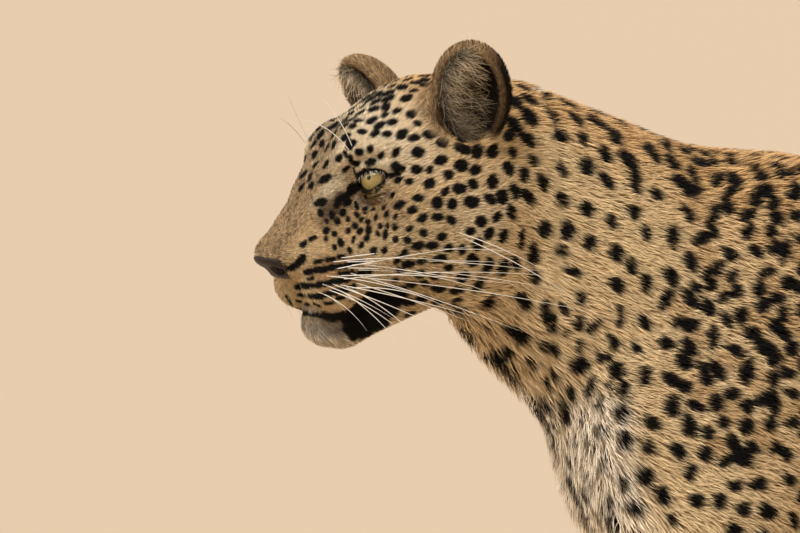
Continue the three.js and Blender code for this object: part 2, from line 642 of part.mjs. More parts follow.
function tailPieces() {
  return {
    tail_base: piece([400, -80, 300], [620, 110, 660], [24, 22, 32], [past(CUT.tail), short(CUT.tailMiddle)]),
    tail_middle: piece([440, -30, 100], [760, 110, 500], [23, 21, 23], [past(CUT.tailMiddle), short(CUT.tailEnd)]),
    tail_end: piece([600, -60, 100], [850, 110, 320], [19, 18, 19], [past(CUT.tailEnd)]),
  };
}

const PAINT = {
  coat: new THREE.MeshStandardMaterial({ color: 0xc89f62, roughness: 0.9, metalness: 0 }),
  ear: new THREE.MeshStandardMaterial({ color: 0x8c7350, roughness: 0.9, metalness: 0 }),
  nose: new THREE.MeshStandardMaterial({ color: 0x3a3033, roughness: 0.5, metalness: 0 }),
  eye: new THREE.MeshStandardMaterial({ color: 0xa8a06c, roughness: 0.1, metalness: 0 }),
};
const paintOf = (name) => PAINT[Object.keys(PAINT).find((word) => name.startsWith(word)) ?? 'coat'];

const pieces = { ...headPieces(), ...trunkPieces(), ...legPieces(), ...tailPieces() };

// The whole model stands with the middle of its outline over the origin
const reach = Object.values(pieces).map((solid) => solid.boundingBox());
const middle = [0, 1].map((a) =>
  (Math.min(...reach.map((b) => b.min[a])) + Math.max(...reach.map((b) => b.max[a]))) / 2);

const leopard = new THREE.Group();
Object.entries(pieces).forEach(([name, solid]) => {
  const mesh = solid.translate([-middle[0], -middle[1], 0]).getMesh();
  const corners = new Float32Array(mesh.numVert * 3);
  for (let i = 0; i < mesh.numVert; i++)
    corners.set(mesh.vertProperties.subarray(i * mesh.numProp, i * mesh.numProp + 3), i * 3);
  const geometry = new THREE.BufferGeometry();
  geometry.setAttribute('position', new THREE.BufferAttribute(corners, 3));
  geometry.setIndex(new THREE.BufferAttribute(mesh.triVerts, 1));
  geometry.computeVertexNormals();
  const made = new THREE.Mesh(geometry, paintOf(name));
  made.name = name;
  leopard.add(made);
});

export default leopard;
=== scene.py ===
# A life-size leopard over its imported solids: one skin, a coat of short tufts, eyes, nose and whiskers.
# Shapes are computed in the solids' draft coordinates in millimetres, and placed in metres at the end.
import math
import bpy
import numpy as np
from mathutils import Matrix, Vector
from mathutils.bvhtree import BVHTree


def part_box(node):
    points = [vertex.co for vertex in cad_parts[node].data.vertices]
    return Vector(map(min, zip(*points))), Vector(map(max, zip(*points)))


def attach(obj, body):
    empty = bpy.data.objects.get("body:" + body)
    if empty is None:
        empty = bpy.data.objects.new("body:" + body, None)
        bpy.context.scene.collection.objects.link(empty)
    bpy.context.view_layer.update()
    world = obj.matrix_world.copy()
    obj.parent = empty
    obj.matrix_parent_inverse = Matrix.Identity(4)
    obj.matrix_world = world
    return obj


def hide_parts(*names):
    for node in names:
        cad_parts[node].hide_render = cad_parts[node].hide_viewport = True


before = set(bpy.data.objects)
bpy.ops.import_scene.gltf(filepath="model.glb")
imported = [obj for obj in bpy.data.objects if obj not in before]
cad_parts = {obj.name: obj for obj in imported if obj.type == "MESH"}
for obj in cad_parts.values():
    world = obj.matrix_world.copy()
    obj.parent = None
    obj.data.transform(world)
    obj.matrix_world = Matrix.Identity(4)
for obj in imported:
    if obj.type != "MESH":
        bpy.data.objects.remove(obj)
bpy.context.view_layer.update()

rng = np.random.default_rng(7)

# Driving sizes, as in the solids
HEAD_TURN = 15
NOSE = (-692, -86, 577)
EYE_AT, EYE_RADIUS, EYE_TURN = (96, 33, 65), 15.5, 28
EYE_LIFT = 9
FORE_STANCE = {-1: -80, 1: 26}
HIND_STANCE = {-1: -42, 1: 36}
ELBOW, WRIST = (-240, 90, 366), (-266, 80, 112)
HIP, KNEE, HOCK = (300, 66, 548), (222, 92, 388), (386, 82, 205)
PAD_SINK = 3


# Vector helpers
def vec(*values):
    return np.array(values, dtype=np.float64)


def unit(v):
    return v / np.maximum(np.linalg.norm(v, axis=-1, keepdims=True), 1e-9)


def smooth(low, high, x):
    t = np.clip((x - low) / (high - low), 0, 1)
    return t * t * (3 - 2 * t)


# Part of the way from a to b, which are plain values, vectors or colours
def mix(a, b, t):
    t = np.asarray(t)
    if t.ndim == 1 and (max(np.ndim(a), np.ndim(b)) == 2 or np.shape(a) == np.shape(b) == (3,)):
        t = t[:, None]
    return a * (1 - t) + b * t


# Values that change part by part: each row gives a part of the animal, from 0 to 1, and what each value
# becomes there, or None where it stays
def layered(values, rows):
    for part, *changes in rows:
        values = [old if new is None else mix(old, new, part) for old, new in zip(values, changes)]
    return values


# Joins two distances with a fillet of width k, and its opposite, which cuts b out of a
def blend(a, b, k):
    h = np.maximum(k - np.abs(a - b), 0) / k
    return np.minimum(a, b) - h * h * (k / 4)


def carve(a, b, k):
    return -blend(-a, b, k)


# An ellipsoid mass whose top leans towards +x by tilt degrees
def mass(at, radii, k, tilt=0, paired=False):
    ct, st = math.cos(math.radians(tilt)), math.sin(math.radians(tilt))
    r = [float(v) for v in radii]

    def distance(p):
        x0 = p[:, 0] - at[0]
        y = (np.abs(p[:, 1]) if paired else p[:, 1]) - at[1]
        z0 = p[:, 2] - at[2]
        x = (x0 * ct - z0 * st) / r[0]
        z = (x0 * st + z0 * ct) / r[2]
        y = y / r[1]
        near = np.sqrt(x * x + y * y + z * z)
        steep = np.sqrt((x / r[0]) ** 2 + (y / r[1]) ** 2 + (z / r[2]) ** 2)
        return near * (near - 1) / np.maximum(steep, 1e-9)
    return k, distance


# A tapered limb with round ends between two points. flat under 1 thins it sideways.
def limb(start, end, r0, r1, k, flat=1, paired=False):
    axis = vec(end[0] - start[0], (end[1] - start[1]) / flat, end[2] - start[2])
    length2 = float(axis @ axis)
    fall = r0 - r1
    a2 = length2 - fall * fall

    def distance(p):
        y = ((np.abs(p[:, 1]) if paired else p[:, 1]) - start[1]) / flat
        x, z = p[:, 0] - start[0], p[:, 2] - start[2]
        along = x * axis[0] + y * axis[1] + z * axis[2]
        past = along - length2
        x2 = ((x * length2 - axis[0] * along) ** 2 + (y * length2 - axis[1] * along) ** 2
              + (z * length2 - axis[2] * along) ** 2)
        y2 = along * along * length2
        z2 = past * past * length2
        slope = np.sign(fall) * fall * fall * x2
        end_cap = np.sqrt(x2 + z2) / length2 - r1
        start_cap = np.sqrt(x2 + y2) / length2 - r0
        side = (np.sqrt(x2 * (a2 / length2)) + along * fall) / length2 - r0
        return np.where(np.sign(past) * a2 * z2 > slope, end_cap,
                        np.where(np.sign(along) * a2 * y2 < slope, start_cap, side))
    return k, distance


def joined(masses, p):
    d = np.full(len(p), 1e3)
    for k, distance in masses:
        d = blend(d, distance(p), k)
    return d


def add(a, b):
    return tuple(x + y for x, y in zip(a, b))


def sided(p, side):
    return (p[0], p[1] * side, p[2])


# Trunk and neck masses
TRUNK = [
    mass((-80, 0, 482), (250, 119, 142), 40, tilt=2),
    mass((-300, 0, 452), (114, 86, 126), 70, tilt=4),
    mass((-346, 0, 388), (54, 54, 66), 40),
    mass((-235, 0, 578), (90, 46, 58), 60),
    mass((-232, 56, 538), (74, 44, 106), 60, tilt=17, paired=True),
    mass((-318, 62, 440), (70, 44, 84), 55, tilt=-10, paired=True),
    mass((-238, 78, 428), (88, 42, 94), 60, tilt=-14, paired=True),
    mass((120, 0, 522), (225, 98, 102), 80),
    mass((80, 0, 448), (185, 84, 76), 70, tilt=6),
    mass((288, 0, 554), (126, 84, 84), 70),
    mass((346, 46, 516), (62, 50, 84), 55, tilt=12, paired=True),
]
NECK = [
    limb((-268, 0, 535), (-470, -26, 636), 98, 84, 70, flat=0.8),
    limb((-345, -2, 462), (-505, -40, 566), 54, 38, 60, flat=0.95),
    mass((-395, -14, 560), (92, 72, 100), 50, tilt=-22),
]


def paw(at, half_width):
    x, y, z = at
    toes = []
    for across in (-1, -0.36, 0.36, 1):
        back = 13 * across * across
        knuckle = (x - 22 + back, y + across * half_width * 0.58, z + 34)
        tip = (x - 52 + back, y + across * half_width * 0.7, z + 13.5 - PAD_SINK)
        toes.append(limb(knuckle, tip, 15, 13.5, 7))
    return [
        mass((x + 4, y, z + 27), (42, half_width * 0.86, 30), 16),
        mass((x + 8, y, z + 15 - PAD_SINK), (27, half_width * 0.62, 15), 8),
        *toes,
    ]


def foreleg(side):
    shift = FORE_STANCE[side]
    elbow = add(ELBOW, (shift * 0.75, 0, 0))
    wrist = add(WRIST, (shift, 0, 0))

    def at(base, *offset):
        return sided(add(base, offset), side)
    return [
        limb(at(elbow, -46, -14, 64), at(elbow, -4, 0, -16), 62, 50, 40, flat=0.7),
        mass(at(elbow, -36, -12, 12), (54, 36, 88), 34, tilt=-5),
        limb(at(elbow, 0, 0, 0), at(wrist, 0, 0, 0), 50, 31, 34, flat=0.86),
        mass(at(elbow, -4, 0, -56), (50, 39, 84), 22, tilt=5),
        mass(at(elbow, 36, 2, 4), (22, 20, 26), 18, tilt=-30),
        mass(at(wrist, -3, 0, 4), (34, 32, 28), 12),
        limb(at(wrist, 0, 0, 0), at(wrist, -22, -4, -66), 31, 31, 14),
        *paw(at(wrist, -30, -6, -WRIST[2]), 45),
    ]


def hind_leg(side):
    shift = HIND_STANCE[side]
    hock = add(HOCK, (shift, 0, 0))
    knee = add(KNEE, (shift * 0.4, 0, 0))
    ankle = add(hock, (-34, 2, -150))

    def at(base, *offset):
        return sided(add(base, offset), side)
    return [
        limb(at(HIP, 0, 0, 0), at(knee, 0, 0, 0), 90, 54, 64, flat=0.58),
        limb(at(HIP, 46, -4, -30), at(HIP, -2, 12, -156), 58, 50, 40, flat=0.64),
        limb(at(knee, 0, 0, 0), at(hock, 0, 0, 0), 50, 24, 30, flat=0.8),
        mass(at(knee, 58, -2, -48), (62, 32, 56), 26, tilt=-42),
        mass(at(hock, 12, 0, 6), (21, 19, 32), 14, tilt=20),
        limb(at(hock, 0, 0, 0), at(ankle, 0, 0, 0), 27, 25, 14, flat=0.9),
        *paw(at(ankle, -20, 0, 150 - HOCK[2]), 40),
    ]


# A smooth curve through points, sampled at even steps along its length
def curve_through(points, count):
    pts = np.array(points, dtype=np.float64)
    ends = np.vstack([2 * pts[0] - pts[1], pts, 2 * pts[-1] - pts[-2]])
    samples = []
    for a, b, c, d in zip(ends, ends[1:], ends[2:], ends[3:]):
        t = np.linspace(0, 1, 40, endpoint=False)[:, None]
        samples.append(0.5 * (2 * b + (c - a) * t + (2 * a - 5 * b + 4 * c - d) * t ** 2
                              + (3 * b - a - 3 * c + d) * t ** 3))
    samples = np.vstack([*samples, pts[-1:]])
    run = np.concatenate([[0], np.cumsum(np.linalg.norm(np.diff(samples, axis=0), axis=1))])
    even = np.linspace(0, run[-1], count)
    return np.stack([np.interp(even, run, samples[:, a]) for a in range(pts.shape[1])], axis=1)


# The hanging tail
TAIL_STEPS = 28
TAIL = curve_through([(372, 0, 590), (440, 4, 548), (498, 16, 450), (536, 30, 330), (592, 40, 222),
                      (676, 40, 168), (756, 30, 190), (796, 16, 262)], TAIL_STEPS + 1)


def tail_radius(t):
    return 34 - 14 * t + 5 * math.sin(math.pi * t) ** 2


TAIL_LINKS = [limb(TAIL[i], TAIL[i + 1], tail_radius(i / TAIL_STEPS), tail_radius((i + 1) / TAIL_STEPS),
                   10 if i else 40) for i in range(TAIL_STEPS)]

# Head masses in the head's own frame: distance behind the nose, to its right, and above the nose
SKULL = [
    mass((158, 0, 80), (70, 62, 68), 30),
    mass((118, 0, 82), (50, 46, 36), 30),
    mass((145, 42, 72), (46, 28, 44), 26, paired=True),
    limb((30, 5, 8), (66, 8, 54), 19.5, 20.5, 16, paired=True),
    limb((66, 8, 54), (84, 14, 90), 20, 21, 14, paired=True),
    mass((21, 0, 5), (19.5, 20, 17), 10),
    mass((70, 20, 4), (41, 26, 34), 20, paired=True),
    mass((87, 31, 86), (24, 17, 13), 20, tilt=-16, paired=True),
    mass((135, 50, 21), (52, 33, 42), 30, paired=True),
    mass((128, 38, 2), (48, 30, 34), 26, paired=True),
    mass((170, 44, 30), (46, 36, 62), 34, paired=True),
    mass((60.5, 23, -20), (28, 25, 23), 9, paired=True),
]
JAW = [
    mass((69, 0, -51), (22, 22, 17), 10),
    limb((76, 13, -51), (136, 43, -16), 19, 23, 18, paired=True),
]
LIP_LINE = [(27, 0, -30), (36, 7, -38), (46, 14, -43), (57, 25, -45.5), (66, 31, -43), (78, 36.5, -35.5),
            (88, 43.5, -28.5), (97, 56, -22)]

# Frames: an origin and three axes as rows
TURN = math.radians(HEAD_TURN)
HEAD_FRAME = (vec(*NOSE), np.array([[math.cos(TURN), math.sin(TURN), 0], [-math.sin(TURN), math.cos(TURN), 0],
                                    [0, 0, 1]]))


def into(placing, p):
    origin, axes = placing
    return (p - origin) @ axes.T


def out_of(placing, p):
    origin, axes = placing
    return p @ axes + origin


def ear_frame(side, lean, face):
    up = unit(vec(lean[0], lean[1] * side, lean[2]))
    front = vec(-math.cos(math.radians(face)), math.sin(math.radians(face)) * side, 0)
    front = unit(front - up * (front @ up))
    return vec(EAR_ROOT[0], EAR_ROOT[1] * side, EAR_ROOT[2]), np.array([front, np.cross(up, front), up])


EAR_ROOT = (158, 60, 96)
EARS = {
    "left": (-1, ear_frame(-1, (-0.12, 0.36, 0.93), 40)),
    "right": (1, ear_frame(1, (-0.15, 0.78, 0.57), 26)),
}
EAR_CUP = mass((-9, 0, 37), (25, 34, 46), 1)
EAR_HOLLOW = mass((0, 0, 37), (21, 26, 38), 1)

# The eye's frame for both sides at once: outwards, up and along the gaze of an eye at positive y
GAZE = vec(-math.cos(math.radians(EYE_TURN)), math.sin(math.radians(EYE_TURN)), 0)
EYE_FRAME = (vec(*EYE_AT), np.array([vec(GAZE[1], -GAZE[0], 0), vec(0, 0, 1), GAZE]))
ORBIT = limb(vec(*EYE_AT) + 15 * GAZE, vec(*EYE_AT) + 60 * GAZE, 13, 26, 16, paired=True)
BROW_FOLD = [(-15, 5, 12), (-8, 10.5, 15.5), (2, 13.5, 15.5), (12, 12.5, 11), (19, 8, 4)]
MUZZLE_END = limb((-6, -40, -28), (-6, 40, -28), 28, 28, 4)
ALMOND = {"half": 14.5, "upper": 6.6, "lower": 7.4, "lift": 4.2}


def mirrored(h):
    return np.stack([h[:, 0], np.abs(h[:, 1]), h[:, 2]], axis=1)


# How far a point lies outside the almond of the open eye, seen along the gaze
def outside_almond(e):
    x, y = e[:, 0], e[:, 1] - ALMOND["lift"] * e[:, 0] / ALMOND["half"]
    span = np.clip(1 - (x / ALMOND["half"]) ** 2, 0, 1) ** 0.8
    height = np.where(y > 0, ALMOND["upper"], ALMOND["lower"]) * span
    return np.maximum(np.abs(y) - height, (np.abs(x) - ALMOND["half"]))


# Distance to a chain of points with a radius that changes along it
def near_chain(p, chain, r0, r1):
    best = np.full(len(p), 1e3)
    for i, (a, b) in enumerate(zip(chain, chain[1:])):
        a, b = vec(*a), vec(*b)
        t = np.clip(((p - a) @ (b - a)) / ((b - a) @ (b - a)), 0, 1)
        radius = r0 + (r1 - r0) * (i + t) / (len(chain) - 1)
        best = np.minimum(best, np.linalg.norm(p - a - t[:, None] * (b - a), axis=1) - radius)
    return best


NOSTRIL = [(12, 9, -9), (14, 14, -8), (21, 20, -5), (28, 23, 1)]
PHILTRUM = [(8, 0, -12), (20, 0, -22), (40, 0, -37)]


def nostrils(h):
    m = mirrored(h)
    opening = mass((13, 10.5, -7.5), (9, 5.4, 4.8), 1)[1](m)
    return np.minimum(opening, near_chain(m, NOSTRIL, 2.2, 0.8))


# The bare head without its coat
def head_flesh(h):
    d = blend(joined(SKULL, h), joined(JAW, h), 8)
    d = carve(d, ORBIT[1](h), ORBIT[0])
    return carve(d, MUZZLE_END[1](h), MUZZLE_END[0])


# The skin of the head, inset by the depth of the coat, with lids, mouth, nostrils and ears
def head_skin(h, depth):
    m = mirrored(h)
    e = into(EYE_FRAME, m)
    d = head_flesh(h) + depth
    from_eye = np.linalg.norm(e, axis=1)
    d = blend(d, from_eye - EYE_RADIUS - 1.7, 6)
    d = blend(d, np.where(e[:, 2] > 0, near_chain(e, BROW_FOLD, 2.4, 3.2), 1e3), 5)
    gap = outside_almond(e)
    rim = np.sqrt((gap - 0.8) ** 2 + (from_eye - EYE_RADIUS - 1.2) ** 2) - 1.3
    d = blend(d, np.where(e[:, 2] > 2, rim, 1e3), 1.6)
    d = carve(d, np.maximum(gap, 3 - e[:, 2]), 1)
    d = carve(d, near_chain(m, LIP_LINE, 1.9, 1.0), 2.5)
    d = carve(d, near_chain(m, PHILTRUM, 0.8, 0.8), 3)
    d = carve(d, nostrils(h), 1.5)
    for _, placing in EARS.values():
        local = into(placing, h)
        near = np.linalg.norm(local - vec(0, 0, 40), axis=1) < 90
        if not near.any():
            continue
        part = local[near]
        cup = carve(EAR_CUP[1](part), -3 + part[:, 2] * 0.05 - part[:, 0], 9) + 0.8
        inner = EAR_HOLLOW[1](part)
        d[near] = carve(blend(d[near], cup, 12), inner, 9)
    return d


# How much a point belongs to the head, the ears, the legs, the paws and the tail, from 0 to 1
def regions(p):
    h = into(HEAD_FRAME, p)
    head = smooth(-30, 30, (196 - h[:, 0]) * 0.92 + (h[:, 2] - 40) * 0.38)
    tail = smooth(372, 430, p[:, 0]) * smooth(-40, 20, p[:, 0] - 300)
    leg = smooth(380, 300, p[:, 2]) * (1 - smooth(410, 440, p[:, 0]) * smooth(160, 60, -p[:, 2]))
    leg = np.where((p[:, 0] > 440) & (p[:, 2] > 130), 0, leg) * (1 - head)
    paw_part = smooth(120, 70, p[:, 2]) * leg
    ear = np.zeros(len(p))
    for _, placing in EARS.values():
        local = into(placing, h)
        inside = smooth(16, 6, EAR_CUP[1](local)) * smooth(0, 14, local[:, 2])
        ear = np.maximum(ear, inside)
    return {"h": h, "head": head, "tail": tail, "leg": leg, "paw": paw_part, "ear": ear}


# The depth of the coat over the skin, in millimetres
def coat_depth(r):
    face = r["head"] * smooth(95, 55, r["h"][:, 0])
    rows = ((r["head"], 2.8), (face, 1.8), (r["leg"], 3.8), (r["paw"], 2.4), (r["tail"], 6.0),
            (r["ear"], 0.8))
    return layered([7.0], rows)[0]


BODY = [*TRUNK, *NECK]
LIMBS = [*foreleg(-1), *foreleg(1), *hind_leg(-1), *hind_leg(1), *TAIL_LINKS]
SOLE = 0.6


# The skin's field near a place: only masses within reach of it are added up
def skin_field(centre, span):
    def close(entry):
        return entry[1](centre[None])[0] < span + entry[0] + 60
    body = [m for m in BODY if close(m)]
    limbs = [m for m in LIMBS if close(m)]
    with_head = np.linalg.norm(centre - out_of(HEAD_FRAME, vec(110, 0, 30))) < span + 240

    def field(p):
        r = regions(p)
        depth = coat_depth(r)
        d = joined(body, p) + depth
        if with_head:
            d = blend(d, head_skin(r["h"], depth), 34)
        for k, distance in limbs:
            d = blend(d, distance(p) + depth, k)
        return np.maximum(d, SOLE - p[:, 2])
    return field


# Grid positions from the first stop to the last, each stop giving a place and the step used after it
def ruler(*stops):
    marks = [stops[0][0]]
    for (start, step), following in zip(stops, stops[1:]):
        end = following[0]
        count = max(1, round((end - start) / step))
        marks += [start + (end - start) * i / count for i in range(1, count + 1)]
    return np.array(marks, dtype=np.float64)


# The field on a grid, computed block by block and only where the surface passes
BLOCK = 12


def sampled(rulers, make_field):
    shape = [len(r) for r in rulers]
    value = np.full(shape, 50.0)
    for i in range(0, shape[0], BLOCK):
        for j in range(0, shape[1], BLOCK):
            for k in range(0, shape[2], BLOCK):
                part = [r[s:s + BLOCK] for r, s in zip(rulers, (i, j, k))]
                low = np.array([r[0] for r in part])
                high = np.array([r[-1] for r in part])
                centre = (low + high) / 2
                span = np.linalg.norm(high - low) / 2
                field = make_field(centre, span)
                middle = field(centre[None])[0]
                if abs(middle) > span * 1.25 + 12:
                    value[i:i + BLOCK, j:j + BLOCK, k:k + BLOCK] = math.copysign(50, middle)
                    continue
                grid = np.stack(np.meshgrid(*part, indexing="ij"), axis=-1).reshape(-1, 3)
                value[i:i + BLOCK, j:j + BLOCK, k:k + BLOCK] = field(grid).reshape([len(r) for r in part])
    return value


# A mesh of quads on the zero level of a grid, one vertex for each crossed cell
def nets(rulers, value):
    shape = np.array(value.shape)
    cells = shape - 1
    stride = np.array([cells[1] * cells[2], cells[2], 1])
    total = np.zeros((cells.prod(), 3))
    count = np.zeros(cells.prod())
    quads = []
    for axis in range(3):
        u, v = (axis + 1) % 3, (axis + 2) % 3
        ahead = [slice(None)] * 3
        behind = [slice(None)] * 3
        ahead[axis], behind[axis] = slice(1, None), slice(None, -1)
        a, b = value[tuple(behind)], value[tuple(ahead)]
        at = np.argwhere((a < 0) != (b < 0))
        va, vb = a[tuple(at.T)], b[tuple(at.T)]
        t = va / (va - vb)
        point = np.stack([rulers[n][at[:, n]] for n in range(3)], axis=1)
        point[:, axis] += t * (rulers[axis][at[:, axis] + 1] - rulers[axis][at[:, axis]])
        ring = []
        for du, dv in ((1, 1), (0, 1), (0, 0), (1, 0)):
            cell = at.copy()
            cell[:, u] -= du
            cell[:, v] -= dv
            inside = ((cell >= 0) & (cell < cells)).all(axis=1)
            flat = cell @ stride
            for n in range(3):
                total[:, n] += np.bincount(flat[inside], point[inside, n], len(total))
            count += np.bincount(flat[inside], minlength=len(total))
            ring.append(np.where(inside, flat, -1))
        ring = np.stack(ring, axis=1)
        whole = (ring >= 0).all(axis=1)
        faces = ring[whole]
        flip = va[whole] >= 0
        faces[flip] = faces[flip][:, ::-1]
        quads.append(faces)
    quads = np.vstack(quads)
    used, compact = np.unique(quads, return_inverse=True)
    return total[used] / count[used][:, None], compact.reshape(-1, 4)


# Moves points onto the field's zero level by its slope
def drawn_onto(points, reach, turns=2):
    order = np.argsort(np.floor(points / 60) @ vec(10000, 100, 1))
    for chunk in np.array_split(order, max(1, len(points) // 4000)):
        part = points[chunk]
        centre = (part.min(axis=0) + part.max(axis=0)) / 2
        field = skin_field(centre, np.linalg.norm(part - centre, axis=1).max())
        start = part.copy()
        for _ in range(turns):
            d = field(part)
            slope = np.stack([field(part + 0.4 * step) - d for step in np.eye(3)], axis=1) / 0.4
            part = part - slope * (d / np.maximum((slope ** 2).sum(axis=1), 0.05))[:, None]
            moved = part - start
            far = np.linalg.norm(moved, axis=1, keepdims=True)
            part = start + moved * np.minimum(1, reach / np.maximum(far, 1e-6))
        points[chunk] = part
    return points


# The ring of vertices along the open edge of a mesh
def open_ring(quads):
    edges = np.vstack([np.stack([quads[:, n], quads[:, (n + 1) % 4]], axis=1) for n in range(4)])
    key = np.sort(edges, axis=1)
    _, first, count = np.unique(key, axis=0, return_index=True, return_counts=True)
    lone = edges[first[count == 1]]
    following = dict(lone.tolist())
    rings = []
    while following:
        start, here = following.popitem()
        ring = [start]
        while here != start and here in following:
            ring.append(here)
            here = following.pop(here)
        rings.append(ring)
    return max(rings, key=len)


# Triangles between two rings around the same axis, walked by their angle
def zipped(points, ring_a, ring_b, centre):
    def ordered(ring):
        q = points[ring] - centre
        angle = np.arctan2(q[:, 2], q[:, 1])
        turn = np.argsort(angle)
        return np.array(ring)[turn], angle[turn]
    a, angle_a = ordered(ring_a)
    b, angle_b = ordered(ring_b)
    i = j = 0
    faces = []
    while i < len(a) or j < len(b):
        next_a = angle_a[i + 1] if i + 1 < len(a) else angle_a[0] + 2 * math.pi if i < len(a) else math.inf
        next_b = angle_b[j + 1] if j + 1 < len(b) else angle_b[0] + 2 * math.pi if j < len(b) else math.inf
        here_a, here_b = a[i % len(a)], b[j % len(b)]
        if next_a <= next_b:
            faces.append((here_a, a[(i + 1) % len(a)], here_b))
            i += 1
        else:
            faces.append((here_a, b[(j + 1) % len(b)], here_b))
            j += 1
    return np.array(faces)


# One skin: a fine mesh of the head and a coarser one of the body, zipped together round the neck
NECK_CUT = -446


def make_skin():
    head_rulers = [
        ruler((-704, 1.85), (-590, 2.9), (NECK_CUT - 3,)),
        ruler((-190, 2.8), (-140, 2.0), (-10, 3.0), (84,)),
        ruler((440, 3.6), (500, 1.95), (680, 2.6), (768,)),
    ]
    body_rulers = [
        ruler((NECK_CUT + 3, 5.8), (840,)),
        ruler((-160, 5.8), (160,)),
        ruler((-9, 5.8), (740,)),
    ]
    head_points, head_quads = nets(head_rulers, sampled(head_rulers, skin_field))
    body_points, body_quads = nets(body_rulers, sampled(body_rulers, skin_field))
    head_points = drawn_onto(head_points, 0.7)
    body_points = drawn_onto(body_points, 2.4)
    points = np.vstack([head_points, body_points])
    body_quads = body_quads + len(head_points)
    ring_a, ring_b = open_ring(head_quads), open_ring(body_quads)
    centre = points[ring_a].mean(axis=0)
    seam = zipped(points, ring_a, ring_b, centre)
    return points, np.vstack([head_quads, body_quads]), seam


def vertex_normals(points, quads, seam):
    normals = np.zeros_like(points)
    cross = np.cross(points[quads[:, 2]] - points[quads[:, 0]], points[quads[:, 3]] - points[quads[:, 1]])
    for n in range(4):
        np.add.at(normals, quads[:, n], cross)
    flat = np.cross(points[seam[:, 1]] - points[seam[:, 0]], points[seam[:, 2]] - points[seam[:, 0]])
    for n in range(3):
        np.add.at(normals, seam[:, n], flat)
    return unit(normals)


SKIN_POINTS, SKIN_QUADS, SKIN_SEAM = make_skin()
SKIN_NORMALS = vertex_normals(SKIN_POINTS, SKIN_QUADS, SKIN_SEAM)


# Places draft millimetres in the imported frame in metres, by the middle of the left eye
EYE_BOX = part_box("eye_left")
EYE_MIDDLE = (np.array(EYE_BOX[0]) + np.array(EYE_BOX[1])) / 2
OFFSET = EYE_MIDDLE * 1000 - out_of(HEAD_FRAME, vec(EYE_AT[0], -EYE_AT[1], EYE_AT[2]))


def placed(p):
    return (p + OFFSET) / 1000


# The photograph's camera, whose pixels are 0.82 mm at the withers
PIXEL = 0.82
AZIMUTH, ELEVATION = math.radians(-15), math.radians(4)
CAMERA_DISTANCE = 9000
TO_CAMERA = vec(math.sin(AZIMUTH) * math.cos(ELEVATION), -math.cos(AZIMUTH) * math.cos(ELEVATION),
                math.sin(ELEVATION))
RIGHT = vec(math.cos(AZIMUTH), math.sin(AZIMUTH), 0)
UP = np.cross(TO_CAMERA, RIGHT)
WITHERS, WITHERS_PIXEL = vec(-230, 0, 655), (775, 150)
MIDDLE_PIXEL = (400, 266.5)


# The step in millimetres from one pixel to another, across the photograph's line of sight
def between_pixels(start, end):
    return PIXEL * ((end[0] - start[0]) * RIGHT - (end[1] - start[1]) * UP)


TARGET = WITHERS + between_pixels(WITHERS_PIXEL, MIDDLE_PIXEL)
CAMERA_AT = TARGET + TO_CAMERA * CAMERA_DISTANCE

SKIN_TREE = BVHTree.FromPolygons(SKIN_POINTS.tolist(), SKIN_QUADS.tolist() + SKIN_SEAM.tolist())


# The point of the skin under a pixel of the photograph, and its twin on the other side of the head
def on_skin(pixel):
    toward = TARGET + between_pixels(MIDDLE_PIXEL, pixel)
    hit = SKIN_TREE.ray_cast(Vector(CAMERA_AT), Vector(unit(toward - CAMERA_AT)))[0]
    return None if hit is None else np.array(hit)


def twin(p):
    h = into(HEAD_FRAME, np.asarray(p))
    nearest = SKIN_TREE.find_nearest(Vector(out_of(HEAD_FRAME, h * vec(1, -1, 1))))[0]
    return np.array(nearest)


# Smooth seeded noise between -1 and 1
def noise(p, size, seed):
    q = p / size
    base = np.floor(q).astype(np.int64)
    t = q - base
    t = t * t * (3 - 2 * t)
    total = np.zeros(len(p))
    for corner in range(8):
        bits = np.array([corner & 1, (corner >> 1) & 1, corner >> 2])
        cell = base + bits
        mixed = (cell[:, 0] * 73856093) ^ (cell[:, 1] * 19349663) ^ (cell[:, 2] * 83492791)
        mixed = mixed ^ (seed * 2654435761)
        mixed = (mixed ^ (mixed >> 13)) * 1274126177 & 0xFFFFFFFF
        weight = np.prod(np.where(bits, t, 1 - t), axis=1)
        total += weight * (((mixed >> 7) & 0xFFFF) / 32767.5 - 1)
    return total


# The direction in which the hair lies at each point of the skin
def lie_of_coat(p, n, r):
    h = r["h"]
    axes = HEAD_FRAME[1]
    on_head = unit(h - vec(-40, 0, 4)) @ axes
    on_body = np.broadcast_to(unit(vec(1, 0, -0.42)), p.shape)
    on_leg = np.broadcast_to(unit(vec(0.22, 0, -1)), p.shape)
    on_paw = np.broadcast_to(unit(vec(-1, 0, -0.5)), p.shape)
    nearest = np.argmin(((p[:, None, :] - TAIL[None, ::3]) ** 2).sum(axis=2), axis=1) * 3
    on_tail = unit(np.gradient(TAIL, axis=0))[nearest]
    flow = mix(on_body, on_leg, r["leg"])
    flow = mix(flow, on_paw, r["paw"])
    flow = mix(flow, on_tail, r["tail"])
    flow = mix(flow, on_head, r["head"])
    for _, (_, ear_axes) in EARS.values():
        up = unit(ear_axes[2]) @ axes
        near = r["ear"] * (np.sign(h[:, 1]) == np.sign(ear_axes[2][1]))
        flow = mix(flow, np.broadcast_to(up, p.shape), near)
    flow = flow - n * (flow * n).sum(axis=1, keepdims=True)
    return unit(flow)


# How much a point lies on the front of the chest, where the hair is long
def chest_hair(p, n, r):
    return smooth(0.2, 0.8, -n[:, 0]) * (1 - r["head"]) * smooth(-260, -380, p[:, 0])


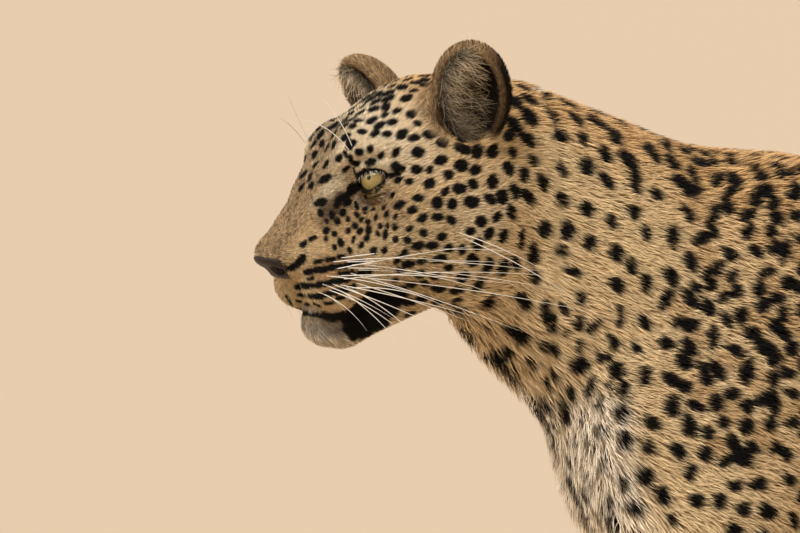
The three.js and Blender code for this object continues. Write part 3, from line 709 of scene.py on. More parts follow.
# Length, width and spacing of the hair tufts
def tuft_sizes(p, n, r):
    x, _, z = r["h"].T
    head, leg = r["head"], r["leg"]
    rear = smooth(135, 200, x)
    face = smooth(120, 60, x) * head
    near_view = smooth(-120, -330, p[:, 0]) * (1 - head) * smooth(330, 420, p[:, 2])
    belly = smooth(0.3, 0.9, -n[:, 2]) * (1 - head) * (1 - leg)
    chin = smooth(-44, -58, z) * smooth(100, 84, x) * head
    return layered([15.0, 1.5, 2.55], (
        (head, 6.2 + 5.5 * rear, 0.75 + 0.25 * rear, 1.25 + 0.45 * rear),
        (face, 3.4, 0.55, 1.05),
        (near_view, None, 1.0, 1.9),
        (chest_hair(p, n, r), 22.0, None, None),
        (belly, 19.0, 2.0, 3.4),
        (leg, 8.5, 1.2, 2.4),
        (r["paw"], 5.5, 0.9, 1.8),
        (r["tail"], 14.0, None, None),
        (chin, 8.0, None, None),
        (r["ear"], 5.5, 0.6, 1.2),
    ))


def srgb(*values):
    c = np.array(values, dtype=np.float64) / 255
    return np.where(c <= 0.04045, c / 12.92, ((c + 0.055) / 1.055) ** 2.4)


GOLD = srgb(214, 174, 120)
BUFF = srgb(212, 188, 146)
CREAM = srgb(220, 204, 174)
WHITE = srgb(212, 200, 180)
TAN = srgb(184, 138, 86)
UMBER = srgb(164, 126, 84)
GRIZZLE = srgb(160, 134, 100)
# A dark brown used as painted shade on the face
PAINTED_SHADE = srgb(62, 48, 36)
BLACK = srgb(11, 8, 6)
ROSETTE = srgb(172, 130, 80)
EAR_BACK = srgb(24, 18, 14)
EAR_RIM = srgb(146, 118, 84)
LIP = srgb(14, 11, 10)
PAD = srgb(46, 38, 36)

# Soft patches of the face as pixels of the photograph, with their reach in millimetres, colour and strength
# The dark brown patches are painted shade: below the eye's inner corner, at the ear's front base and under
# the lower lip
PATCH_PIXELS = [
    ((330, 190), 9, CREAM, 0.8), ((340, 180), 8, CREAM, 0.8), ((318, 203), 8, CREAM, 0.35),
    ((331, 209), 11, PAINTED_SHADE, 0.75), ((326, 222), 9, PAINTED_SHADE, 0.4), ((341, 199), 8, PAINTED_SHADE, 0.9),
    ((357, 202), 6, CREAM, 0.7), ((369, 201), 6, CREAM, 0.7), ((382, 195), 6, CREAM, 0.7),
    ((360, 160), 8, CREAM, 0.7), ((374, 162), 8, CREAM, 0.7), ((386, 166), 7, CREAM, 0.6),
    ((328, 275), 18, UMBER, 0.7), ((345, 272), 16, UMBER, 0.7),
    ((300, 303), 10, CREAM, 0.85), ((316, 309), 9, CREAM, 0.8), ((290, 292), 10, CREAM, 0.9),
    ((448, 122), 15, GRIZZLE, 0.6), ((470, 138), 10, PAINTED_SHADE, 0.45), ((280, 290), 12, CREAM, 0.9),
    ((318, 336), 14, WHITE, 0.9), ((336, 339), 13, WHITE, 0.8), ((316, 322), 13, PAINTED_SHADE, 0.6),
    ((338, 324), 14, PAINTED_SHADE, 0.7),
]
# The first of them are pale brows that carry no spots
PALE_BROWS = 2
FACE_PATCHES = [(into(HEAD_FRAME, on_skin(pixel)), reach, colour, strength)
                for pixel, reach, colour, strength in PATCH_PIXELS if on_skin(pixel) is not None]


# How much the bridge of the nose and the skin before the eyes are speckled with dark hair
def grizzle(r):
    x, y, z = mirrored(r["h"]).T
    bridge = smooth(100, 62, x) * smooth(30, 16, y) * smooth(-10, 6, z)
    below_eye = smooth(66, 48, z) * smooth(18, 34, z) * smooth(110, 96, x) * 0.7
    chin = smooth(-48, -58, z) * smooth(96, 80, x) * 0.8
    cheek = smooth(160, 110, x) * smooth(62, 44, z) * 0.3
    return np.maximum(np.maximum(bridge, below_eye), np.maximum(chin, cheek)) * r["head"]


# The ground colour of the coat between its markings, with painted shade in the hollows of the ears
def ground_colour(p, n, r):
    h = r["h"]
    x, _, z = h.T
    head, leg = r["head"], r["leg"]
    patchy = noise(p, 60, 3) * 0.5 + noise(p, 22, 4) * 0.3
    back = smooth(0.05, 0.75, n[:, 2])
    rear = smooth(-330, -120, p[:, 0]) * (1 - head)
    under = smooth(0.0, 0.75, -n[:, 2]) * (1 - head)
    inner_leg = 0.7 * smooth(0.2, 0.9, -n[:, 1] * np.sign(p[:, 1])) * leg
    chest = smooth(0.4, 0.75, -n[:, 0]) * (1 - head) * (1 - leg)
    chest *= smooth(490, 440, p[:, 2]) * smooth(-200, -330, p[:, 0])
    cheek = smooth(120, 190, x) * smooth(100, 20, z)
    neck = smooth(-180, -400, p[:, 0]) * smooth(0.75, 0.05, n[:, 2])
    # The forehead's cream is partly the coat's own colour and partly painted light, where the sun falls on
    # the brow
    forehead = smooth(56, 84, z) * smooth(150, 100, x)
    throat = smooth(-30, -70, z) * head
    colour, = layered([BUFF], (
        (np.clip(back * 0.9 + patchy * 0.25 + 0.1, 0, 1), GOLD),
        (rear * 0.35 * smooth(-0.4, 0.4, n[:, 2]), TAN),
        (np.clip(np.maximum(under, inner_leg), 0, 1), WHITE),
        (np.clip(chest, 0, 1), WHITE * 1.4),
        (0.75 * cheek * head, CREAM),
        (0.85 * neck * (1 - head) * (1 - chest), BUFF * 1.16),
        (0.85 * forehead * head, CREAM * 1.1),
        (0.85 * grizzle(r), GRIZZLE),
        (throat, CREAM),
    ))
    m = mirrored(h) * vec(1, -1, 1)
    # Soft patches of the face; the dark brown ones are painted shade
    for at, reach, tint, strength in FACE_PATCHES:
        near = smooth(reach * 1.25, reach * 0.45, np.linalg.norm(m - at, axis=1))
        colour = mix(colour, tint, strength * near * head)
    for side, placing in EARS.values():
        local = into(placing, h)
        own = r["ear"] * (np.sign(h[:, 1]) == side)
        behind = smooth(2, -4, local[:, 0] + 4) * smooth(-16, 0, -side * local[:, 1]) * own
        # Painted shade in each ear's hollow: nearly black on the left ear, lighter on the right
        inside = smooth(2, -2, EAR_HOLLOW[1](local)) * own
        colour, = layered([colour], (
            (0.85 * own, EAR_RIM),
            (behind * smooth(-6, 8, local[:, 2]) * smooth(82, 66, local[:, 2]), EAR_BACK),
            (inside, GRIZZLE * (0.08 if side < 0 else 0.45)),
        ))
    return colour


# How much a point of the head lies before the cheek and under the eye, where the marks are small streaks
def before_cheek(h):
    return smooth(50, 38, h[:, 2]) * smooth(108, 90, h[:, 0])


# Spacing and half width of the markings at each point, and whether they are rosettes there
def spot_sizes(p, n, r):
    x, y, z = mirrored(r["h"]).T
    head, leg = r["head"], r["leg"]
    rear = smooth(90, 190, x)
    nape = smooth(0.2, 0.7, n[:, 2])
    crown = smooth(40, 18, y) * smooth(90, 110, z) * head
    rosette = smooth(-380, -300, p[:, 0]) * ((1 - head) * (1 - leg) * (1 - r["tail"]))
    rosette *= smooth(385, 440, p[:, 2]) * smooth(-0.75, -0.4, n[:, 2])
    spine = smooth(0.9, 0.98, n[:, 2]) * (1 - head)
    belly = smooth(0.4, 0.8, -n[:, 2]) * (1 - head) * (1 - leg)
    low = smooth(260, 120, p[:, 2])
    spacing, radius = layered([21.0, 6.8 + 1.2 * nape], (
        (head, mix(11.0, 15.5, rear), mix(4.0, 6.2, rear)),
        (before_cheek(r["h"]) * head, 7.6, 2.9),
        (crown, 10.0, 4.5),
        (rosette, 35.0 + 5 * smooth(-300, -100, p[:, 0]), 6.9),
        (spine, 21.0, 5.5),
        (belly, 38.0, 10.0),
        (leg, 25.0 - 8 * low, 7.8 - 3 * low),
        (r["paw"], 12.0, 2.7),
        (r["tail"], 27.0, 8.5),
    ))
    return spacing, radius, (rosette > 0.5) & (spine < 0.5)


def quad_areas():
    a, b, c, d = (SKIN_POINTS[SKIN_QUADS[:, i]] for i in range(4))
    return np.linalg.norm(np.cross(c - a, d - b), axis=1) / 2


AREAS = quad_areas()


# Random points spread over the skin's quads, count of them on each, with their normals
def scattered(count):
    chosen = np.repeat(np.arange(len(SKIN_QUADS)), count)
    u, v = rng.random(len(chosen))[:, None], rng.random(len(chosen))[:, None]
    corners = SKIN_QUADS[chosen]

    def between(values):
        low = values[corners[:, 0]] * (1 - u) + values[corners[:, 1]] * u
        high = values[corners[:, 3]] * (1 - u) + values[corners[:, 2]] * u
        return low * (1 - v) + high * v
    return between(SKIN_POINTS), unit(between(SKIN_NORMALS))


# Lines of the face as pixels of the photograph, with their half width there
FACE_LINES = [
    ([(316, 262), (322, 261)], 2.2), ([(327, 260), (333, 259)], 2.2), ([(338, 257), (344, 256)], 2.2),
    ([(305, 272), (313, 271), (325, 269)], 2.9), ([(329, 268), (345, 266), (362, 261)], 2.9),
    ([(308, 279), (313, 278)], 1.8), ([(340, 274), (352, 272)], 2.0),
    ([(297, 287), (304, 286), (312, 285)], 3.0), ([(315, 285), (330, 283), (346, 279)], 3.3),
    ([(348, 278), (358, 275), (370, 271)], 3.0), ([(299, 295), (306, 296)], 2.2),
    ([(310, 296), (322, 296)], 2.9), ([(325, 295), (340, 291), (354, 287)], 3.1),
    ([(297, 301), (300, 302)], 1.8), ([(305, 304), (308, 305)], 1.8),
    ([(315, 304), (320, 306)], 2.1), ([(326, 303), (332, 303)], 2.1), ([(322, 311), (327, 311)], 1.7),
    ([(337, 299), (344, 297)], 2.3), ([(303, 245), (306, 242)], 2.6), ([(311, 239), (315, 237)], 2.2),
    ([(293, 268), (299, 263), (303, 257)], 3.2),
    ([(287, 297), (293, 306), (303, 312), (318, 316), (338, 317)], 2.3),
    ([(364, 199), (374, 197), (385, 192)], 1.0), ([(358, 188), (351, 192), (345, 196), (339, 200)], 3.0),
    ([(383, 178), (390, 176), (397, 173), (404, 168)], 2.6), ([(350, 157), (352, 162)], 2.4),
    ([(354, 168), (356, 174)], 1.8), ([(350, 141), (350, 148)], 3.2), ([(345, 152), (347, 156)], 2.0),
    ([(357, 187), (366, 194), (376, 192), (385, 182)], 1.4),
    ([(357, 176), (366, 170), (378, 170), (387, 177)], 2.0),
]


# Blotches of the throat, neck and chest on the side towards the camera, given in the same way
NECK_LINES = [
    ([(455, 310), (466, 305)], 5), ([(520, 296), (528, 305)], 5), ([(547, 302), (549, 318), (554, 330)], 5),
    ([(516, 328), (523, 338)], 6.5), ([(494, 356), (504, 354), (514, 350)], 6), ([(547, 344), (557, 353)], 6),
    ([(554, 371), (557, 375)], 4.5), ([(548, 380), (552, 386)], 4.5), ([(573, 388), (576, 399)], 4.5),
    ([(533, 396), (537, 408)], 4), ([(546, 408), (552, 417), (562, 422)], 5.5), ([(567, 402), (572, 418)], 6),
    ([(580, 318), (582, 326)], 4.5), ([(566, 334), (569, 331)], 3.5), ([(580, 362), (583, 368)], 6),
    ([(599, 355), (602, 359)], 4.5), ([(609, 355), (611, 356)], 3.5), ([(596, 380), (593, 394)], 4.5),
    ([(612, 382), (613, 388)], 3.5), ([(606, 398), (604, 409)], 3.5), ([(604, 431), (606, 436)], 4.5),
    ([(556, 437), (558, 448)], 3.5), ([(573, 436), (576, 443)], 3.5), ([(563, 461), (565, 466)], 3.5),
    ([(577, 458), (580, 466)], 4.5), ([(587, 412), (588, 424)], 2.8), ([(594, 440), (596, 452)], 2.8),
    ([(609, 458), (610, 470)], 3.5), ([(572, 482), (576, 494)], 3), ([(583, 494), (588, 504)], 5.5),
    ([(601, 482), (602, 496)], 3), ([(609, 502), (611, 514)], 3.5), ([(592, 514), (596, 526)], 4),
    ([(488, 324), (492, 327)], 3), ([(508, 324), (509, 327)], 2.5), ([(532, 358), (536, 366)], 2.8),
    ([(522, 380), (526, 386)], 2.8), ([(562, 306), (566, 312)], 4), ([(592, 330), (600, 322)], 3.8),
    ([(582, 342), (581, 350)], 3.2), ([(620, 310), (621, 322)], 4), ([(612, 338), (616, 346)], 4.5),
]
# Mirrored lines stay off the very front of the muzzle
FRONT_OF_LIPS = 44


def points_of(lines, both_sides):
    made = []
    for number, (line, half) in enumerate(lines):
        for i, (x, y) in enumerate(curve_through(line, max(3, int(len(line) * 5)))):
            at = on_skin((x, y))
            if at is None:
                continue
            width = half * PIXEL * (1.1 + 0.2 * math.sin(2.1 * i + 1.3 * number))
            made.append((at, width))
            if both_sides and into(HEAD_FRAME, at)[0] > FRONT_OF_LIPS:
                made.append((twin(at), width))
    return made


NECK_POINTS = points_of(NECK_LINES, False)
LINE_POINTS = points_of(FACE_LINES, True) + NECK_POINTS


# Solid spots stand this close to the rosettes and to each other between them
FILLER_SPACING = 17.0
MOST_SPOTS = 9000


# Places for the markings: random points kept only where none stands too near
def spot_places():
    middle = into(HEAD_FRAME, SKIN_POINTS[SKIN_QUADS[:, 0]])
    count = rng.poisson(AREAS * np.where(middle[:, 0] < 230, 0.11, 0.022))
    p, n = scattered(count)
    r = regions(p)
    m = mirrored(r["h"])
    x, y, z = m.T
    bridge = (x < 88) & (y < 22) & (z > -60) & (z < 58)
    muzzle = (x < 44) | ((x < 92) & (z < 9) & (z > -60)) | ((x < 112) & (z < -24))
    bare = (r["head"] > 0.5) & (bridge | muzzle)
    bare |= (r["ear"] > 0.3)
    bare |= np.linalg.norm(into(EYE_FRAME, m), axis=1) < 23
    for at, _, _, _ in FACE_PATCHES[:PALE_BROWS]:
        bare |= np.linalg.norm(m * vec(1, -1, 1) - at, axis=1) < 10
    for at, width in NECK_POINTS:
        bare |= np.linalg.norm(p - at, axis=1) < width + 7.5
    keep = ~bare
    p, n = p[keep], n[keep]
    r = {name: value[keep] for name, value in r.items()}
    spacing, radius, rosette = spot_sizes(p, n, r)
    taken = np.zeros((MOST_SPOTS, 3))
    room = np.zeros(MOST_SPOTS)
    chosen, kinds = [], []

    def place(order, spacing, kind):
        for i in order:
            count = len(chosen)
            gap2 = ((taken[:count] - p[i]) ** 2).sum(axis=1)
            if count == MOST_SPOTS or (gap2 < ((room[:count] + spacing[i]) * 0.42) ** 2).any():
                continue
            taken[count], room[count] = p[i], spacing[i]
            chosen.append(i)
            kinds.append(kind[i])
    order = rng.permutation(len(p))
    place(order, spacing, rosette)
    place(order[rosette[order]], np.full(len(p), FILLER_SPACING), np.zeros(len(p), dtype=bool))
    chosen = np.array(chosen)
    picked = {name: value[chosen] for name, value in r.items()}
    return p[chosen], n[chosen], picked, radius[chosen], np.array(kinds)


# Kinds of marking: a solid spot, the brown inside of a rosette, and a drawn line
SPOT, TINT, LINE = 0, 1, 2


# Every marking as flat ellipses on the skin: middle, long axis, cross axis, half sizes and kind
def blotches():
    p, n, r, radius, rosette = spot_places()
    flow = lie_of_coat(p, n, r)
    upright = vec(0.35, 0, -1) - n * (n @ vec(0.35, 0, -1))[:, None]
    along = unit(mix(flow, unit(upright), (1 - r["head"]) * smooth(-250, -380, p[:, 0])))
    streak = before_cheek(r["h"]) * r["head"]
    made = []
    for i in range(len(p)):
        turn = rng.normal(1.25 * streak[i], 0.35)
        axis = unit(along[i] * math.cos(turn) + np.cross(n[i], along[i]) * math.sin(turn))
        side = np.cross(n[i], axis)
        size = radius[i] * rng.uniform(0.8, 1.2)
        if not rosette[i]:
            stretch = rng.uniform(1.1, 1.8)
            made.append((p[i], axis, side, size * stretch ** 0.6, size / stretch ** 0.4, SPOT))
            continue
        ring = rng.uniform(10.5, 13.0)
        parts = rng.integers(3, 6)
        start = rng.uniform(0, 2 * math.pi)
        made.append((p[i], axis, side, ring * 1.05, ring * 0.9, TINT))
        for part in range(parts):
            angle = start + 2 * math.pi * (part + rng.uniform(-0.12, 0.12)) / parts
            out = axis * math.cos(angle) * 1.15 + side * math.sin(angle) * 0.95
            tangent = unit(side * math.cos(angle) - axis * math.sin(angle))
            arc = ring * math.pi / parts * rng.uniform(0.7, 1.0)
            made.append((p[i] + out * ring, tangent, unit(out), arc, rng.uniform(4.8, 7.0), SPOT))
    return made


MARKS = blotches() + [(at, vec(1, 0, 0), vec(0, 0, 1), half, half, LINE) for at, half in LINE_POINTS]
MARK_AT, MARK_AXIS, MARK_SIDE, MARK_HALF, MARK_CROSS, MARK_KIND = (np.array(column) for column in zip(*MARKS))

# Each marking is listed in every cell of a coarse grid that it may reach
CELL = 14.0


def cell_key(cells):
    return ((cells[..., 0] + 512) * 1024 + cells[..., 1] + 512) * 1024 + cells[..., 2] + 512


def listed_cells():
    reach = np.maximum(MARK_HALF, MARK_CROSS) * 1.35 + 1
    low = np.floor((MARK_AT - reach[:, None]) / CELL).astype(np.int64)
    high = np.floor((MARK_AT + reach[:, None]) / CELL).astype(np.int64)
    keys, owners = [], []
    for number, (a, b) in enumerate(zip(low, high)):
        box = np.stack(np.meshgrid(*[np.arange(a[n], b[n] + 1) for n in range(3)], indexing="ij"), axis=-1)
        found = cell_key(box.reshape(-1, 3))
        keys.append(found)
        owners.append(np.full(len(found), number))
    keys, owners = np.concatenate(keys), np.concatenate(owners)
    order = np.argsort(keys, kind="stable")
    names, start, count = np.unique(keys[order], return_index=True, return_counts=True)
    return names, start, count, owners[order]


CELL_NAMES, CELL_START, CELL_COUNT, CELL_OWNER = listed_cells()


# How black and how brown the markings are at each point of the skin
def markings(p, r):
    q = p + np.stack([noise(p, 2.6, s) for s in (11, 12, 13)], axis=1) * 0.45
    q += np.stack([noise(p, 8, s) for s in (14, 15, 16)], axis=1) * (2.0 - 1.3 * r["head"])[:, None]
    key = cell_key(np.floor(q / CELL).astype(np.int64))
    slot = np.minimum(np.searchsorted(CELL_NAMES, key), len(CELL_NAMES) - 1)
    held = CELL_NAMES[slot] == key
    black, brown = np.zeros(len(p)), np.zeros(len(p))
    for turn in range(CELL_COUNT.max()):
        now = np.flatnonzero(held & (CELL_COUNT[slot] > turn))
        mark = CELL_OWNER[CELL_START[slot[now]] + turn]
        local = q[now] - MARK_AT[mark]
        height = np.abs((local * np.cross(MARK_AXIS[mark], MARK_SIDE[mark])).sum(axis=1))
        reach = np.hypot((local * MARK_AXIS[mark]).sum(axis=1) / MARK_HALF[mark],
                         (local * MARK_SIDE[mark]).sum(axis=1) / MARK_CROSS[mark])
        round_line = MARK_KIND[mark] == LINE
        reach = np.where(round_line, np.linalg.norm(local, axis=1) / MARK_HALF[mark], reach)
        soft = 0.5 / MARK_CROSS[mark]
        part = np.clip((1 + soft - reach) / (2 * soft), 0, 1)
        part = np.where((height < 14) | round_line, part, 0)
        is_tint = MARK_KIND[mark] == TINT
        brown[now] = np.maximum(brown[now], np.where(is_tint, part, 0))
        black[now] = np.maximum(black[now], np.where(is_tint, 0, part))
    return black, brown


# The black patch at the corner of the mouth, as pixels of the photograph with its half width in millimetres
JAW_PATCH = [((351, 318), 8), ((362, 311), 13), ((378, 303), 15), ((392, 296), 12), ((401, 291), 8),
             ((362, 326), 9), ((376, 318), 12), ((388, 308), 10), ((352, 327), 7), ((366, 333), 8),
             ((380, 325), 9), ((343, 313), 5), ((356, 334), 7)]
JAW_POINTS = [(into(HEAD_FRAME, on_skin(pixel)), half)
              for pixel, half in JAW_PATCH if on_skin(pixel) is not None]


def outside_jaw_patch(h):
    m = mirrored(h) * vec(1, -1, 1)
    return np.min([np.linalg.norm(m - at, axis=1) - half for at, half in JAW_POINTS], axis=0)


# Bare dark skin: eyelids, lips and the pads under the paws
def bare_skin(p, n, r):
    m = mirrored(r["h"])
    e = into(EYE_FRAME, m)
    lids = smooth(3.4, 1.8, outside_almond(e)) * smooth(24, 20, np.linalg.norm(e, axis=1))
    lids *= smooth(0, 4, e[:, 2])
    lips = smooth(4.2, 2.6, near_chain(m, LIP_LINE, 1, 1))
    lips = np.maximum(lips, smooth(1.8, 0.6, near_chain(m, PHILTRUM, 0.8, 0.8)))
    nostril = smooth(3, 1, nostrils(r["h"]))
    sole = smooth(7, 3, p[:, 2]) * smooth(0.3, 0.7, -n[:, 2])
    return np.clip(np.maximum(np.maximum(lids, lips), nostril) * r["head"] + sole, 0, 1), sole


# The colour of the coat and the skin with all its markings
def full_colour(p, n):
    r = regions(p)
    colour = ground_colour(p, n, r)
    black, brown = markings(p, r)
    jaw = smooth(1.2, -1.2, outside_jaw_patch(r["h"]) + noise(p, 6, 21) * 1.6) * r["head"]
    black = np.maximum(black * (1 - r["ear"]), jaw)
    tail_end = smooth(700, 760, p[:, 0]) * r["tail"]
    black = np.maximum(black, tail_end * 0.9)
    speck = smooth(0.05, 0.5, noise(p, 1.7, 51)) * grizzle(r)
    colour = colour * (1 - 0.5 * speck + 0.12 * noise(p, 2.8, 52))[:, None]
    bare, sole = bare_skin(p, n, r)
    return layered([colour], ((0.4 * brown, ROSETTE), (black, BLACK), (bare, LIP), (sole, PAD)))[0]


# Materials
def material(name, roughness, specular=0.5):
    made = bpy.data.materials.new(name)
    made.use_nodes = True
    nodes = made.node_tree.nodes
    shader = nodes["Principled BSDF"]
    shader.inputs["Roughness"].default_value = roughness
    shader.inputs["Specular IOR Level"].default_value = specular
    return made, nodes, made.node_tree.links, shader


# A texture that lies in the object's own coordinates
def texture(nodes, links, kind, scale):
    place = nodes.new("ShaderNodeTexCoord")
    made = nodes.new(kind)
    made.inputs["Scale"].default_value = scale
    links.new(place.outputs["Object"], made.inputs["Vector"])
    return made


def add_bump(nodes, links, shader, height, strength, depth):
    bump = nodes.new("ShaderNodeBump")
    bump.inputs["Strength"].default_value = strength
    bump.inputs["Distance"].default_value = depth
    links.new(height, bump.inputs["Height"])
    links.new(bump.outputs["Normal"], shader.inputs["Normal"])


# Fur in the colours of the mesh, made lighter and darker by a fine grain
def painted(name, roughness, specular, grain, strength, contrast):
    made, nodes, links, shader = material(name, roughness, specular)
    colour = nodes.new("ShaderNodeAttribute")
    colour.attribute_name = "Coat"
    speckle = texture(nodes, links, "ShaderNodeTexNoise", grain)
    speckle.inputs["Detail"].default_value = 3
    shade = nodes.new("ShaderNodeMapRange")
    shade.inputs["To Min"].default_value = 1 - contrast
    shade.inputs["To Max"].default_value = 1 + contrast
    links.new(speckle.outputs["Fac"], shade.inputs["Value"])
    tone = nodes.new("ShaderNodeVectorMath")
    tone.operation = "SCALE"
    links.new(colour.outputs["Color"], tone.inputs[0])
    links.new(shade.outputs["Result"], tone.inputs["Scale"])
    links.new(tone.outputs["Vector"], shader.inputs["Base Color"])
    if strength:
        add_bump(nodes, links, shader, speckle.outputs["Fac"], strength, 0.0008)
    return made


COAT = painted("coat_hair", 0.7, 0.12, 420, 0, 0.16)
SKIN = painted("skin_fur", 0.75, 0.12, 900, 0.5, 0.22)


# A mesh in the scene from points in millimetres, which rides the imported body
def mesh_object(name, points, faces, look, colours=None, uv=None):
    mesh = bpy.data.meshes.new(name)
    sizes = np.concatenate([np.full(len(f), f.shape[1]) for f in faces])
    corners = np.concatenate([f.ravel() for f in faces]).astype(np.int32)
    mesh.vertices.add(len(points))
    mesh.vertices.foreach_set("co", placed(points).astype(np.float32).ravel())
    mesh.loops.add(len(corners))
    mesh.loops.foreach_set("vertex_index", corners)
    mesh.polygons.add(len(sizes))
    mesh.polygons.foreach_set("loop_start", np.concatenate([[0], np.cumsum(sizes)[:-1]]).astype(np.int32))
    mesh.polygons.foreach_set("use_smooth", np.ones(len(sizes), dtype=bool))
    if uv is not None:
        mesh.uv_layers.new(name="OFBake").data.foreach_set("uv", uv[corners].astype(np.float32).ravel())
    mesh.update(calc_edges=True)
    if colours is not None:
        layer = mesh.color_attributes.new("Coat", "FLOAT_COLOR", "POINT")
        opaque = np.hstack([colours, np.ones((len(points), 1))])
        layer.data.foreach_set("color", opaque.astype(np.float32).ravel())
    made = bpy.data.objects.new(name, mesh)
    bpy.context.scene.collection.objects.link(made)
    mesh.materials.append(look)
    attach(made, "root")
    return made


# The skin itself, darker than the hair over it: painted shade of the coat that covers it
SKIN_UNDER_COAT_SHADE = 0.8
FLESH = ["head", "lower_jaw", "neck", "torso", "ear_left", "ear_right", "tail_base", "tail_middle",
         "tail_end"]
for paired_name in ("foreleg", "forepaw", "thigh", "shank", "hind_foot", "hind_paw"):
    FLESH += [f"{paired_name}_left", f"{paired_name}_right"]
skin = mesh_object("skin", SKIN_POINTS, [SKIN_QUADS, SKIN_SEAM], SKIN,
                   full_colour(SKIN_POINTS, SKIN_NORMALS) * SKIN_UNDER_COAT_SHADE)
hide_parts(*FLESH)


# Where each piece of coat is unwrapped: a region of the skin rolled off around its own long axis
def unwrapped(name, p, r):
    if name == "head":
        x, y, z = r["h"].T
        angle = np.arctan2(y, z - 15)
        along = x / 300 + 0.05
    elif name == "leg":
        fore = p[:, 0] < 0
        angle = np.arctan2(np.abs(p[:, 1]) - 82, p[:, 0] - np.where(fore, -270, 300))
        along = p[:, 2] / 460 * 0.48 + np.where(fore, 0, 0.5)
    elif name == "tail":
        nearest = np.argmin(((p[:, None, :] - TAIL[None]) ** 2).sum(axis=2), axis=1)
        angle = np.arctan2(p[:, 1] - TAIL[nearest, 1], p[:, 2] - TAIL[nearest, 2])
        along = nearest / len(TAIL)
    else:
        angle = np.arctan2(p[:, 1], p[:, 2] - 500)
        along = (p[:, 0] + 560) / 1000
    return np.stack([0.02 + 0.96 * (angle / (2 * math.pi) + 0.5), np.clip(along, 0.01, 0.99)], axis=1)


# A tuft is a blade of five points, two at its root, two in its middle and its tip
BLADE_FACES = np.array([[0, 1, 3], [0, 3, 2], [2, 3, 4]])
# Painted shade and light along each blade: its root darker, where shade falls between the hairs, and its tip
# lighter
BLADE_ROOT_SHADE_TIP_LIGHT = np.array([0.74, 0.74, 0.98, 0.98, 1.12])
PATCH = 0.003
BLADE_PATCH = np.array([[-0.5, 0], [0.5, 0], [-0.4, 0.5], [0.4, 0.5], [0, 1]]) * PATCH
# How far along the blade its root, middle and tip take their colour
COLOUR_TAKEN_AT = (0.15, 0.6, 0.95)
LOWEST_HAIR = 0.3
TUFTS_PER_PIECE = 62000


# Random roots over the skin, as many as the tufts' spacing asks for
def tuft_roots():
    p = SKIN_POINTS[SKIN_QUADS].mean(axis=1)
    n = unit(SKIN_NORMALS[SKIN_QUADS].mean(axis=1))
    r = regions(p)
    spacing = tuft_sizes(p, n, r)[2]
    expected = AREAS / spacing ** 2 * (1 - bare_skin(p, n, r)[0])
    return scattered(np.floor(expected + rng.random(len(expected))).astype(int))


# Corners and colours of the tufts on the given roots
def tufts(p, n, r):
    length, width, _ = tuft_sizes(p, n, r)
    flow = lie_of_coat(p, n, r)
    sway = noise(p, 14, 31) * 0.22 + rng.normal(0, 0.16, len(p))
    flow = unit(flow + np.cross(n, flow) * sway[:, None])
    side = np.cross(n, flow)
    length = length * rng.uniform(0.75, 1.2, len(p))
    width = width * rng.uniform(0.8, 1.2, len(p))
    rise = np.minimum(coat_depth(r) * rng.uniform(0.7, 1.0, len(p)), length * 0.75)
    rise = mix(rise, length * 0.4, r["ear"])
    rise = rise * (1 + 0.8 * chest_hair(p, n, r))
    reach = np.sqrt(np.maximum(length ** 2 - rise ** 2, 0.1))
    low, high, end = [full_colour(p + flow * (reach * part)[:, None], n) for part in COLOUR_TAKEN_AT]
    uneven = np.maximum(np.clip(grizzle(r), 0, 1), r["ear"])
    tone = np.exp(rng.normal(0, 0.13 + 0.22 * uneven, len(p)))
    dark = rng.random(len(p)) < 0.035 + 0.3 * uneven
    tone = np.where(dark, tone * 0.45, tone)[:, None, None]
    roll = rng.uniform(-0.6, 0.6, len(p))
    half = unit(side * np.cos(roll)[:, None] + n * np.sin(roll)[:, None]) * (width / 2)[:, None]
    root = p - n * 0.5
    middle = root + flow * (reach * 0.5)[:, None] + n * (rise * 0.68)[:, None]
    tip = root + flow * reach[:, None] + n * rise[:, None]
    corners = np.stack([root - half, root + half, middle - half * 0.75, middle + half * 0.75, tip], axis=1)
    corners[..., 2] = np.maximum(corners[..., 2], LOWEST_HAIR)
    # The colours carry the blades' painted shade at the root and painted light at the tip
    return corners, np.stack([low, low, high, high, end], axis=1) * BLADE_ROOT_SHADE_TIP_LIGHT[None, :, None] * tone


def add_coat():
    p, n = tuft_roots()
    r = regions(p)
    corners, colours = tufts(p, n, r)
    head = r["head"] > 0.5
    tail = (r["tail"] > 0.5) & ~head
    leg = (r["leg"] > 0.5) & ~head & ~tail
    for label, held in (("head", head), ("body", ~(head | tail | leg)), ("leg", leg), ("tail", tail)):
        members = np.flatnonzero(held)
        key = unwrapped(label, p[members], {name: value[members] for name, value in r.items()})
        order = np.argsort(key[:, 0])
        members, key = members[order], key[order]
        pieces = max(1, math.ceil(len(members) / TUFTS_PER_PIECE))
        for piece, chosen in enumerate(np.array_split(np.arange(len(members)), pieces)):
            ids = members[chosen]
            faces = (np.arange(len(ids))[:, None, None] * 5 + BLADE_FACES[None]).reshape(-1, 3)
            uv = (key[chosen][:, None, :] + BLADE_PATCH[None]).reshape(-1, 2)
            mesh_object(f"coat_{label}_{piece + 1}", corners[ids].reshape(-1, 3), [faces], COAT,
                        colours[ids].reshape(-1, 3), uv)


add_coat()


# Eyes: an iris ringed with dark, a small round pupil and a wet bulging cornea
def eye_material():
    made, nodes, links, shader = material("eye_wet", 0.04, 0.3)
    shader.inputs["Coat Weight"].default_value = 0.35
    shader.inputs["Coat Roughness"].default_value = 0.02
    local = nodes.new("ShaderNodeAttribute")
    local.attribute_name = "Coat"
    links.new(local.outputs["Color"], shader.inputs["Base Color"])
    return made


